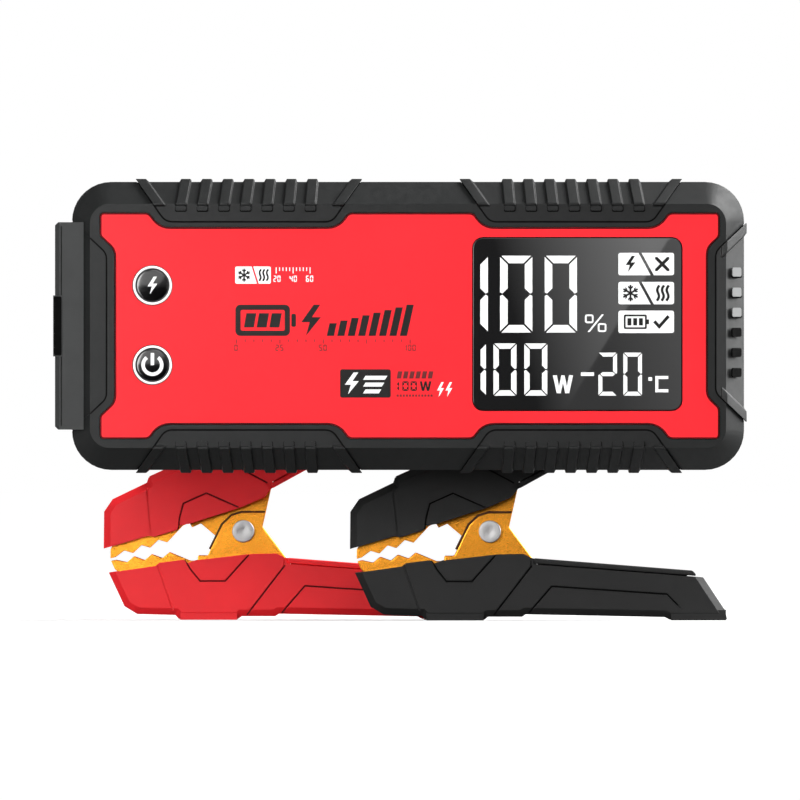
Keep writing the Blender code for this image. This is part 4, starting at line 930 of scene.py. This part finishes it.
def power_sign(x, z):
    """An open circle with a line through its opening."""
    radius, line = POWER_MARK
    ends = (math.pi / 2 + POWER_OPENING, 2.5 * math.pi - POWER_OPENING)
    outer, inner = [arc((x, z), r, 48, *ends) for r in (radius, radius - line)]
    foot, top = POWER_STEM
    return [outer + inner[::-1],
            rounded((x - line / 2, z + foot), (x + line / 2, z + top), 0.2, 3)]


def buttons():
    for name in ("boost", "power"):
        trim_ring(f"{name}_ring")
        centre, face = button_cap(f"{name}_button")
        x, z = centre.x, centre.z
        if name == "boost":
            marks = [bolt((x - BOLT_MARK[0] / 2, z - BOLT_MARK[1] / 2), BOLT_MARK)]
        else:
            marks = power_sign(x, z)
        print_or_shade_piece(f"{name}_mark", marks, WHITE_INK, face, f"{name}_button",
                    sunk=MARK_SUNK[name])


# ---- ends and back


SEAL_ACROSS = (-0.45, 0.1)   # a seal's two sides, and how deep it lies in the slot
SEAL_DEEP = (0.15, 2.1)
SEAL_Y = (RIM_LOW.y + 12.0, RIM_LOW.y + 13.2)
TONGUE_ROUND = 4.0
SEAM = 0.3                   # the slot between a band and the case
# the width of the painted shade drawn along each seam
SEAM_SHADE_WIDTH = 0.5

# The bands that wrap the case: across its height or width, its outer edge, which way is
# out, the slant of its ends, how far its ends stand proud, its reach and the case's chamfer
Band = namedtuple("Band", "name axes edge out slant proud reach chamfer")
GRIPS = [Band(f"grip_{side}_{hand}", "xz", edge, out, 0.71, 1.0, 13.1, 7.3)
         for side, edge, out in (("top", RIM_HIGH.z, 1), ("bottom", RIM_LOW.z, -1))
         for hand in ("left", "right")]
BANDS = GRIPS + [Band("end_bumper", "zx", RIM_HIGH.x, 1, 0.95, 0.9, 9.3, 6.0),
                 Band("port_frame", "zx", RIM_LOW.x, -1, 0.94, 0.0, 11.3, 6.0)]


def band_path(band, end, inward, places):
    """Places (along the band from its end, deep from the outer edge) on the case's front."""
    path = [(end + inward * u, band.edge - band.out * deep) for u, deep in places]
    return path if band.axes == "xz" else [(v, u) for u, v in path]


def band_ends(band):
    """Where a band's two ends meet the case's outer edge, and which way is inward."""
    low, high, _ = node_box(band.name)
    shift = band.slant * band.proud
    return ((getattr(low, band.axes[0]) + shift, 1), (getattr(high, band.axes[0]) - shift, -1))


def band_seals():
    """Soft strips that close the slanting slots at both ends of the bands."""
    plates = []
    (near, far), (shallow, deep) = SEAL_ACROSS, SEAL_DEEP
    for band in BANDS:
        places = [(across + band.slant * depth, depth) for across, depth in
                  ((near, shallow), (far, shallow), (far, deep), (near, deep))]
        plates += [(band_path(band, *end, places), SEAL_Y) for end in band_ends(band)]
    plate_piece("band_seals", plates, RUBBER, "pack")


def band_seam_shade():
    """Painted shade in the seams between the bands and the case's front face."""
    lines = []
    steps = 6
    radius = TONGUE_ROUND + SEAM / 2
    for band in BANDS:
        lean = math.atan(band.slant)
        reach = band.reach + SEAM / 2
        run = radius * math.tan((math.pi / 2 - lean) / 2)
        across = band.slant * reach - run * math.sin(lean) + radius * math.cos(lean)
        depth = reach - run * math.cos(lean) - radius * math.sin(lean)
        half = [(band.slant * band.chamfer, band.chamfer)]
        for angle in (lean + (math.pi / 2 - lean) * k / steps for k in range(steps + 1)):
            half.append((across - radius * math.cos(angle), depth + radius * math.sin(angle)))
        spread = SEAM / 2 * math.hypot(1.0, band.slant)
        half = [(u - spread, deep) for u, deep in half]
        first, last = [band_path(band, *end, half) for end in band_ends(band)]
        lines.append(stroke(first + last[::-1], SEAM_SHADE_WIDTH))
    print_or_shade_piece("band_seam_shade", lines, SHADE_INK, RIM_LOW.y)


CHAMFER = (6.0, 7.0)         # the case's chamfer at its ends: across, and how deep it runs
BAR_PLACE = 0.46             # the bars' middle, as a share of the way across the chamfer
BUMPER_PROUD = 0.9
BAR_PITCH = 6.65
BAR_HALF = (2.3, 1.5)
BAR_PROUD = 0.3


def bumper_bars():
    """Bars on the slanting face of the end bumper: the upper three grey with a painted shadow behind,
    the lower three painted black as shade.
    """
    across = Vector((*CHAMFER, 0.0)).normalized()
    out = Vector((across.y, -across.x, 0.0))
    centre = Vector((RIM_HIGH.x - CHAMFER[0], RIM_LOW.y, node_box("end_bumper")[2].z))
    centre += out * BUMPER_PROUD + across * math.hypot(*CHAMFER) * BAR_PLACE
    turn = Matrix((across, -out, (0.0, 0.0, 1.0))).transposed()
    half_u, half_z = BAR_HALF
    # the grey bars, the same bars painted black as shade, and painted shadows behind the grey ones
    for name, material, slot, shadow, proud, rows in (
            ("bumper_bars_grey", BAR_GREY, "ring_white", 0.0, BAR_PROUD, range(3, 6)),
            ("bumper_bars_shaded", SHADE, "gloss_black", 0.0, BAR_PROUD, range(3)),
            ("bumper_bar_shadows", SHADE, "gloss_black", 0.5, INK, range(3, 6))):
        mesh = bmesh.new()
        for z in (BAR_PITCH * (k - 2.5) for k in rows):
            outline = rounded((-half_u, z - half_z - shadow), (half_u + shadow, z + half_z), 0.7, 4)
            slab(mesh, outline, -proud, 0.3)
        for vertex in mesh.verts:
            vertex.co = centre + turn @ vertex.co
        finish_piece(name, mesh, material, "pack", smooth=25.0)


RIB_COUNT = 7
RIB_PITCH = 7.0
RIB_FAN = 0.0026             # lean of a rib, for each mm from the case's middle
RIB_FOOT = (7.9, 9.5)        # a foot's reach below the outer edge of the case
FOOT_HALF = 1.7
FOOT_PROUD = 0.8
FOOT_SHADE = (0.15, 0.25, 0.45)      # the shadow's reach to the left, to the right and down


def rib_feet():
    """The small blocks on which the ribs of the grips end, on the front face."""
    feet, shadows = [], []
    left, right, down = FOOT_SHADE
    for band in GRIPS:
        grip_x = node_box(band.name)[2].x - RIM_MIDDLE.x
        foot, head = sorted(band.edge - band.out * reach for reach in RIB_FOOT)
        for k in range(RIB_COUNT):
            top = grip_x + RIB_PITCH * (k - (RIB_COUNT - 1) / 2)
            x = RIM_MIDDLE.x + top * (1 + RIB_FAN * RIB_FOOT[0])
            feet.append((rounded((x - FOOT_HALF, foot), (x + FOOT_HALF, head), 0.4, 3),
                         (RIM_LOW.y - FOOT_PROUD, RIM_LOW.y + 0.2)))
            shadows.append(rounded((x - FOOT_HALF - left, foot - down),
                                   (x + FOOT_HALF + right, head), 0.5, 3))
    plate_piece("rib_feet", feet, RUBBER, "pack")
    print_or_shade_piece("rib_shadows", shadows, SHADE_INK, RIM_LOW.y)


LENS_ROUND = 1.6
LENS_FACE = ((0.5, 0.0), (0.12, 0.15), (0.0, 0.5))   # below the lens's face, and how far in
EMITTER = ((0.0, 0.0), (1.7, 0.0), (1.7, 0.4), (1.2, 0.55), (0.0, 0.58))
EMITTER_PLACE = (0.6, 3.6)   # behind the lens, and from its middle


def lamp():
    """Rounded lens of the work lamp with two emitters behind it."""
    low, high, centre = node_box("lamp_lens")
    half_y, half_z = (high.y - low.y) / 2, (high.z - low.z) / 2
    outline = rounded((-half_y, -half_z), (half_y, half_z), LENS_ROUND, 5)
    levels = [(low.x, 0.0)] + [(high.x - below, inset) for below, inset in LENS_FACE]
    mesh = bmesh.new()
    loops = [[mesh.verts.new((x, centre.y + p.x * (1 - inset / half_y),
                              centre.z + p.y * (1 - inset / half_z))) for p in outline]
             for x, inset in levels]
    mesh.faces.new(loops[0])
    mesh.faces.new(loops[-1][::-1])
    skin(mesh, loops)
    finish_piece("lamp_cover", mesh, LENS, "pack", stands_for=["lamp_lens"])
    emitters = bmesh.new()
    back, away = EMITTER_PLACE
    for side in (-1, 1):
        place = Vector((low.x - back, centre.y, centre.z + side * away))
        lathe(emitters, EMITTER, place, "X", 32)
    finish_piece("lamp_emitters", emitters, LAMP_WHITE, "pack")


REAR_RIBS = (9, 7.0)         # how many, and their pitch
REAR_RIB_HALF = (1.2, 20.0)


def rear_relief():
    """Shallow ribs on the rear face, inside the grips."""
    count, pitch = REAR_RIBS
    half_x, half_z = REAR_RIB_HALF
    ribs = []
    for k in range(count):
        middle = moved(PANEL, pitch * (k - (count - 1) / 2), 0.0)
        outline = rounded(moved(middle, -half_x, -half_z), moved(middle, half_x, half_z), 1.1, 5)
        ribs.append((outline, (REAR_Y - 0.3, REAR_Y + 0.6)))
    plate_piece("rear_ribs", ribs, CASE, "pack")


TAB_FRONT = 0.3              # the finger tab stands this far before the cover's front face
COVER_SHADE_SIDES = (2.55, 2.85)    # the two sides of the painted shade line, from the cover's outer end
COVER_MARGIN = 1.2
NOTCH = ((0.2, 2.8), 9.8)    # its two sides and half its height


def cover_details():
    """A parting line on the front face of the port cover, drawn as a line of painted shade, and the
    dark face of its tab.
    """
    low, high, middle = node_box("port_cover")
    near, far = COVER_SHADE_SIDES
    line = rounded((low.x + near, low.z + COVER_MARGIN), (low.x + far, high.z - COVER_MARGIN), 0.1, 2)
    print_or_shade_piece("cover_parting_shade", [line], SHADE_INK, low.y + TAB_FRONT, "port_cover")
    (near, far), half = NOTCH
    notch = rounded((low.x + near, middle.z - half), (low.x + far, middle.z + half), 0.6, 4)
    print_or_shade_piece("cover_notch", [notch], SHADE_INK, low.y, "port_cover")


# A tongue: its insets from the socket's two ends, half its width, and its two y places
TONGUES = {"usb_a": ((0.8, 2.0), 5.2, (0.3, 1.7)), "usb_c": ((0.9, 1.5), 1.5, (-0.3, 0.3))}
CONTACT_FEET = [2.2 * k - 3.9 for k in range(4)]
DC_PIN = ((0.0, 1.2), (0.35, 1.25), (0.55, 1.6), (0.55, 9.0), (0.0, 9.0))


def tongue(kind):
    """The tongue in a socket's mouth; returns the socket's box."""
    low, high, middle = node_box(f"{kind}_socket")
    (start, stop), half, depths = TONGUES[kind]
    outline = rounded((low.x + start, middle.z - half), (high.x - stop, middle.z + half), 0.1, 2)
    plate_piece(f"{kind}_tongue", [(outline, [middle.y + depth for depth in depths])], TONGUE,
                "pack")
    return low, high, middle


def contacts():
    """Tongues and pins in the sockets' mouths, seen with the port cover open."""
    low, high, middle = tongue("usb_a")
    pins = []
    for z in (middle.z + foot for foot in CONTACT_FEET):
        pins.append((rounded((low.x + 1.6, z), (high.x - 3.5, z + 1.1), 0.1, 2),
                     (middle.y + 0.15, middle.y + 0.5)))
    plate_piece("usb_a_pins", pins, CONTACT, "pack")
    tongue("usb_c")
    low, _, middle = node_box("dc_socket")
    pin = bmesh.new()
    lathe(pin, DC_PIN, (low.x, middle.y, middle.z), "X", 24)
    finish_piece("dc_pin", pin, CONTACT, "pack")


# ---- clamps


# Places on a clamp are (x, z) from its pivot, on the lower lever
CLAMP_HALF = 16.0
JAW_HALF = 13.2
JAW_LINE = math.radians(12.15)   # the line between the jaws rises this much
GROOVE_FLOOR = 0.42
# the width and thickness of the painted shade in the grooves
GROOVE_SHADE_WIDTH = 0.45
GROOVE_SHADE_THICK = 0.12
GROOVES = (
    ((-19.4, -9.6), (-17.4, -12.8), (-14.3, -16.6), (-5.9, -16.6), (1.9, -7.9)),
    ((13.9, -11.3), (13.7, -11.7), (1.3, -27.8)),
    ((12.8, -27.2), (20.6, -18.2), (58.8, -20.8), (62.5, -24.5)),
)
LID_START = ((13.6, -11.3), (15.6, -11.3), (15.6, -9.15), (13.6, -8.95))
LID_REACH = (JAW_HALF + 0.2, CLAMP_HALF - 1.1)
# the path and width of the painted shade round the lower jaw's ears
EAR_SHADE_PATH = ((7.3, 6.4), (-0.45, 6.4), (-3.95, 5.3), (-7.05, 2.3), (-8.75, -1.15), (-11.1, -6.0))
EAR_SHADE_WIDTH = 0.8
EAR_REACH = (10.6, 13.15)    # from the middle of the clamp, between the lower ear's two faces
PIN_HEAD = 1.4
PIN_RADIUS = 2.5
HEAD_ROUND = 0.35
SPRING_WIRE = 1.6
SPRING_TURNS = 4
SPRING_STEPS = 36            # for each turn
SPRING_HALF = 5.1
SPRING_RADIUS = 3.6
SPRING_LEG = (11.5, -12.9)


def lever_side(points, pivot, upper=False):
    """Places on the lower lever, or carried to the upper one across the jaws' line."""
    c, s = math.cos(2 * JAW_LINE), math.sin(2 * JAW_LINE)
    places = [(x * c + z * s, x * s - z * c) if upper else (x, z) for x, z in points]
    return [Vector((pivot.x + x, pivot.z + z)) for x, z in places]


def both_sides(outline, pivot, reach):
    """The outline as a plate on each side of the clamp, this far from its middle."""
    return [(outline, [pivot.y + side * r for r in reach]) for side in (-1, 1)]


def lever_groove_shade_and_seals(colour, pivot):
    """Painted shade as dark lines in the pressed grooves, and seals where the lids begin."""
    shade, plastic = (SHADE_RED, RED_CLAMP) if colour == "red" else (SHADE, BLACK_CLAMP)
    face = CLAMP_HALF - GROOVE_FLOOR
    for level, body in (("lower", "pack"), ("upper", f"{colour}_upper_lever")):
        upper = level == "upper"
        lines = []
        for path in GROOVES:
            outline = stroke(lever_side(path, pivot, upper), GROOVE_SHADE_WIDTH)
            lines += both_sides(outline, pivot, (face - GROOVE_SHADE_THICK, face))
        plate_piece(f"{colour}_{level}_lines", lines, shade, body)
        seals = both_sides(lever_side(LID_START, pivot, upper), pivot, LID_REACH)
        plate_piece(f"{colour}_{level}_seals", seals, plastic, body)


def ear_shade(colour, pivot):
    """A dark brown line of painted shade round the ears of the lower jaw, where the upper jaw's plate
    lies behind them.
    """
    outline = stroke(lever_side(EAR_SHADE_PATH, pivot), EAR_SHADE_WIDTH)
    plate_piece(f"{colour}_ear_shade", both_sides(outline, pivot, EAR_REACH), SHADE_BROWN,
                "pack")


def rivet(colour):
    """The pivot pin with a domed and dimpled head at each end; returns its middle."""
    low, high, centre = node_box(f"{colour}_pivot_pin")
    head, end = (high.x - low.x) / 2, (high.y - low.y) / 2
    flat = head - HEAD_ROUND
    half = [(0.0, -end + 0.06), (1.0, -end + 0.04), (1.15, -end), (flat, -end)]
    half += [(flat + HEAD_ROUND * s, -end + HEAD_ROUND * c) for s, c in quarter_turn(5)]
    half += [(head, -end + PIN_HEAD), (PIN_RADIUS, -end + PIN_HEAD)]
    mesh = bmesh.new()
    lathe(mesh, half + [(r, -y) for r, y in half[::-1]], centre)
    finish_piece(f"{colour}_rivet", mesh, STEEL, "pack", smooth=40.0,
                 stands_for=[f"{colour}_pivot_pin"])
    return centre


def coil_path():
    """The spring's wire: a leg on the lower web, its turns, a leg on the upper web."""
    reach = math.hypot(*SPRING_LEG)
    lean = math.acos(SPRING_RADIUS / reach)
    fall = math.atan2(SPRING_LEG[1], SPRING_LEG[0])
    climb = 2 * JAW_LINE - fall
    start, stop = fall - lean, climb + lean
    sweep = (start - stop) % math.tau + math.tau * SPRING_TURNS
    steps = round(sweep / math.tau * SPRING_STEPS)
    path = [Vector((SPRING_LEG[0], -SPRING_HALF, SPRING_LEG[1]))]
    for k in range(steps + 1):
        angle = start - sweep * k / steps
        path.append(Vector((SPRING_RADIUS * math.cos(angle), SPRING_HALF * (2 * k / steps - 1),
                            SPRING_RADIUS * math.sin(angle))))
    path.append(Vector((reach * math.cos(climb), SPRING_HALF, reach * math.sin(climb))))
    return path


def coil(colour, pivot):
    """The spring on its pin, between the two levers."""
    path = coil_path()
    curve = bpy.data.curves.new("spring_path", "CURVE")
    curve.dimensions = "3D"
    curve.bevel_depth = SPRING_WIRE / 2 * MM
    curve.bevel_resolution = 4
    curve.use_fill_caps = True
    spline = curve.splines.new("POLY")
    spline.points.add(len(path) - 1)
    for point, place in zip(spline.points, path):
        point.co = (*((place + pivot) * MM), 1.0)
    holder = add_object("spring_holder", curve)
    bpy.context.view_layer.update()
    evaluated = holder.evaluated_get(bpy.context.evaluated_depsgraph_get())
    data = bpy.data.meshes.new_from_object(evaluated)
    data.name = f"{colour}_coil"
    bpy.data.objects.remove(holder, do_unlink=True)
    for face in data.polygons:
        face.use_smooth = True
    data.materials.clear()
    data.materials.append(SPRING_STEEL)
    made = add_object(f"{colour}_coil", data)
    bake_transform(made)
    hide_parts(f"{colour}_spring")


# ---- stage, in metres


FLOOR_HALF = 16.0
FLOOR_GREY = 0.3             # the floor's own colour, which the lamps light
FLOOR_GLOW = (0.62, 0.92)    # seen by the camera, beside the object and far from it
FLOOR_RUN = (0.25, 1.6)      # the distances from the object for these two
FLOOR_GLOSS = 0.12           # share of that glow in glossy surfaces
STUDIO_GREYS = ((0.0, 0.04), (0.48, 0.14), (0.58, 0.36), (0.75, 0.34), (1.0, 0.18))
AIM = (0.0, 0.0, 0.08)       # where the lamps point


def world():
    """White to the camera and through the lens, and to all else a studio, grey by height."""
    made = bpy.data.worlds.new("studio")
    bpy.context.scene.world = made
    graph = Graph(made)
    height = graph.new("ShaderNodeSeparateXYZ", graph.place("Generated")).outputs["Z"]
    ramp = graph.new("ShaderNodeValToRGB", graph.span(height, 0.0, 1.0, -1.0, 1.0))
    while len(ramp.color_ramp.elements) < len(STUDIO_GREYS):
        ramp.color_ramp.elements.new(0.5)
    for element, (at, grey) in zip(ramp.color_ramp.elements, STUDIO_GREYS):
        element.position = at
        element.color = (grey, grey, grey, 1.0)
    studio = graph.new("ShaderNodeBackground", ramp.outputs["Color"])
    white = graph.new("ShaderNodeBackground", (1.0, 1.0, 1.0, 1.0))
    rays = graph.new("ShaderNodeLightPath").outputs
    seen = graph.combine("MAXIMUM", rays["Is Camera Ray"], rays["Is Transmission Ray"])
    mix = graph.new("ShaderNodeMixShader", seen, studio.outputs["Background"],
                    white.outputs["Background"])
    graph.new("ShaderNodeOutputWorld", mix.outputs["Shader"])


def stage_mesh(name, corners, material):
    data = bpy.data.meshes.new(name)
    data.from_pydata(corners, [], [range(len(corners))])
    data.materials.append(material)
    made = add_object(name, data)
    return made


def floor():
    """White to the camera, a little greyer where the object stands, with its soft shadow."""
    material = bpy.data.materials.new("floor_white")
    graph = Graph(material)
    matt = graph.new("ShaderNodeBsdfDiffuse", (FLOOR_GREY, FLOOR_GREY, FLOOR_GREY, 1.0))
    away = graph.new("ShaderNodeVectorMath", graph.place(), operation="LENGTH").outputs["Value"]
    level = graph.span(away, *FLOOR_GLOW, *FLOOR_RUN, interpolation_type="SMOOTHSTEP")
    rays = graph.new("ShaderNodeLightPath").outputs
    faint = graph.combine("MULTIPLY", rays["Is Glossy Ray"], FLOOR_GLOSS)
    seen = graph.combine("MAXIMUM", rays["Is Camera Ray"], rays["Is Transmission Ray"])
    strength = graph.combine("MULTIPLY", graph.combine("MAXIMUM", seen, faint), level)
    glow = graph.new("ShaderNodeEmission", Strength=strength)
    both = graph.new("ShaderNodeAddShader", matt.outputs["BSDF"], glow.outputs["Emission"])
    graph.new("ShaderNodeOutputMaterial", both.outputs["Shader"])
    h = FLOOR_HALF
    stage_mesh("floor", [(-h, -h, 0), (h, -h, 0), (h, h, 0), (-h, h, 0)], material)


def softbox(name, place, size, watts):
    lamp_data = bpy.data.lights.new(name, "AREA")
    lamp_data.shape = "RECTANGLE"
    lamp_data.size, lamp_data.size_y = size
    lamp_data.energy = watts
    made = add_object(name, lamp_data)
    made.location = place
    made.rotation_euler = (Vector(AIM) - made.location).to_track_quat("-Z", "Y").to_euler()
    made.visible_camera = False


def lights():
    softbox("key", (-0.7, -1.25, 0.35), (0.8, 0.7), 13.9)
    softbox("front", (0.3, -1.8, 1.1), (1.0, 0.8), 11.0)
    softbox("side", (1.55, 0.3, 1.15), (1.4, 2.0), 145.0)
    softbox("corner", (0.34, -0.02, 0.62), (0.25, 0.25), 3.2)


def glow_card(name, corners, levels, start=(0.0, 0.0, 0.0), stop=(0.0, 0.0, 1.0)):
    """A panel of light that only glossy surfaces show: its level runs from start to stop."""
    material = bpy.data.materials.new(name)
    graph = Graph(material)
    run = Vector(stop) - Vector(start)
    run /= run.length_squared
    along = graph.new("ShaderNodeVectorMath", graph.place(), run, operation="DOT_PRODUCT")
    offset = Vector(start).dot(run)
    level = graph.span(along.outputs["Value"], *levels, offset, offset + 1.0)
    glow = graph.new("ShaderNodeEmission", Strength=level)
    graph.new("ShaderNodeOutputMaterial", glow.outputs["Emission"])
    card = stage_mesh(name, corners, material)
    for kind in ("camera", "diffuse", "shadow", "transmission"):
        setattr(card, f"visible_{kind}", False)


SHEEN_Y = -0.55
SHEEN_SIDES = (0.018, 0.104)
SHEEN_SPLIT = ((0.0518, 0.062), (0.0975, 0.1368))     # foot and top of its slanted edge
CAP_SPLIT = ((0.058, 0.125), (0.443, 0.6))


def upright(y, *corners):
    return [(x, y, z) for x, z in corners]


def upright_box(y, x_low, x_high, z_low, z_high):
    return upright(y, (x_low, z_low), (x_high, z_low), (x_high, z_high), (x_low, z_high))


def glow_cards():
    """The slanted sheen on the screen, the light upper half of the button caps and the
    case's bright left rim, and dark cards that keep the floor out of the gloss."""
    y, (left, right), (foot, top) = SHEEN_Y, SHEEN_SIDES, SHEEN_SPLIT
    glow_card("sheen_left", upright(y, (left, foot[1]), foot, top, (left, top[1])),
              (0.18, 2.6), (0.038, y, 0.105), (0.088, y, 0.118))
    glow_card("sheen_right", upright(y, foot, (right, foot[1]), (right, top[1]), top),
              (0.6, 1.3), (0.07, y, 0.09), (0.104, y, 0.098))
    foot, top = CAP_SPLIT
    glow_card("cap_sheen", upright(-2.0, (-0.85, foot[1]), foot, top, (-0.85, top[1])), (1.9, 1.9))
    glow_card("cap_shade", upright_box(-1.1, -0.5, 0.25, 0.001, 0.098), (0.0, 0.0))
    glow_card("floor_shade", [(-0.5, -1.1, 0.001), (0.5, -1.1, 0.001), (0.5, -0.07, 0.001),
                              (-0.5, -0.07, 0.001)], (0.0, 0.0))
    glow_card("rim_sheen", upright_box(-0.33, -0.32, -0.16, 0.02, 0.26), (14.0, 14.0))


# The photograph's frame is 800 pixels wide, and a pixel is 0.331 mm of the object
PHOTO_WIDTH = 264.8
PHOTO_MIDDLE = (0.0, 73.15)
PHOTO_PLANE = -40.0          # y of the plane that has the photograph's scale
LENS_LENGTH = 1600.0
SENSOR = 36.0
CLIP_END = 100.0             # metres


def camera():
    data = bpy.data.cameras.new("camera")
    data.lens = LENS_LENGTH
    data.sensor_width = SENSOR
    data.clip_end = CLIP_END
    made = add_object("camera", data)
    distance = PHOTO_WIDTH * LENS_LENGTH / SENSOR * MM
    x, z = PHOTO_MIDDLE
    made.location = (x * MM, PHOTO_PLANE * MM - distance, z * MM)
    made.rotation_euler = (math.pi / 2, 0.0, 0.0)
    bpy.context.scene.camera = made


# ---- the whole


def main():
    dress_frame()
    display_figures()
    status_fields()
    heat_pictogram()
    charge_graphic()
    gauge_scale()
    badge()
    power_print()
    panel_shade_ring()
    buttons()
    bumper_bars()
    band_seals()
    band_seam_shade()
    rib_feet()
    lamp()
    rear_relief()
    cover_details()
    contacts()
    for colour in ("red", "black"):
        pivot = rivet(colour)
        coil(colour, pivot)
        lever_groove_shade_and_seals(colour, pivot)
        ear_shade(colour, pivot)
    world()
    floor()
    lights()
    glow_cards()
    camera()
    bpy.context.scene.view_settings.view_transform = "Standard"


main()
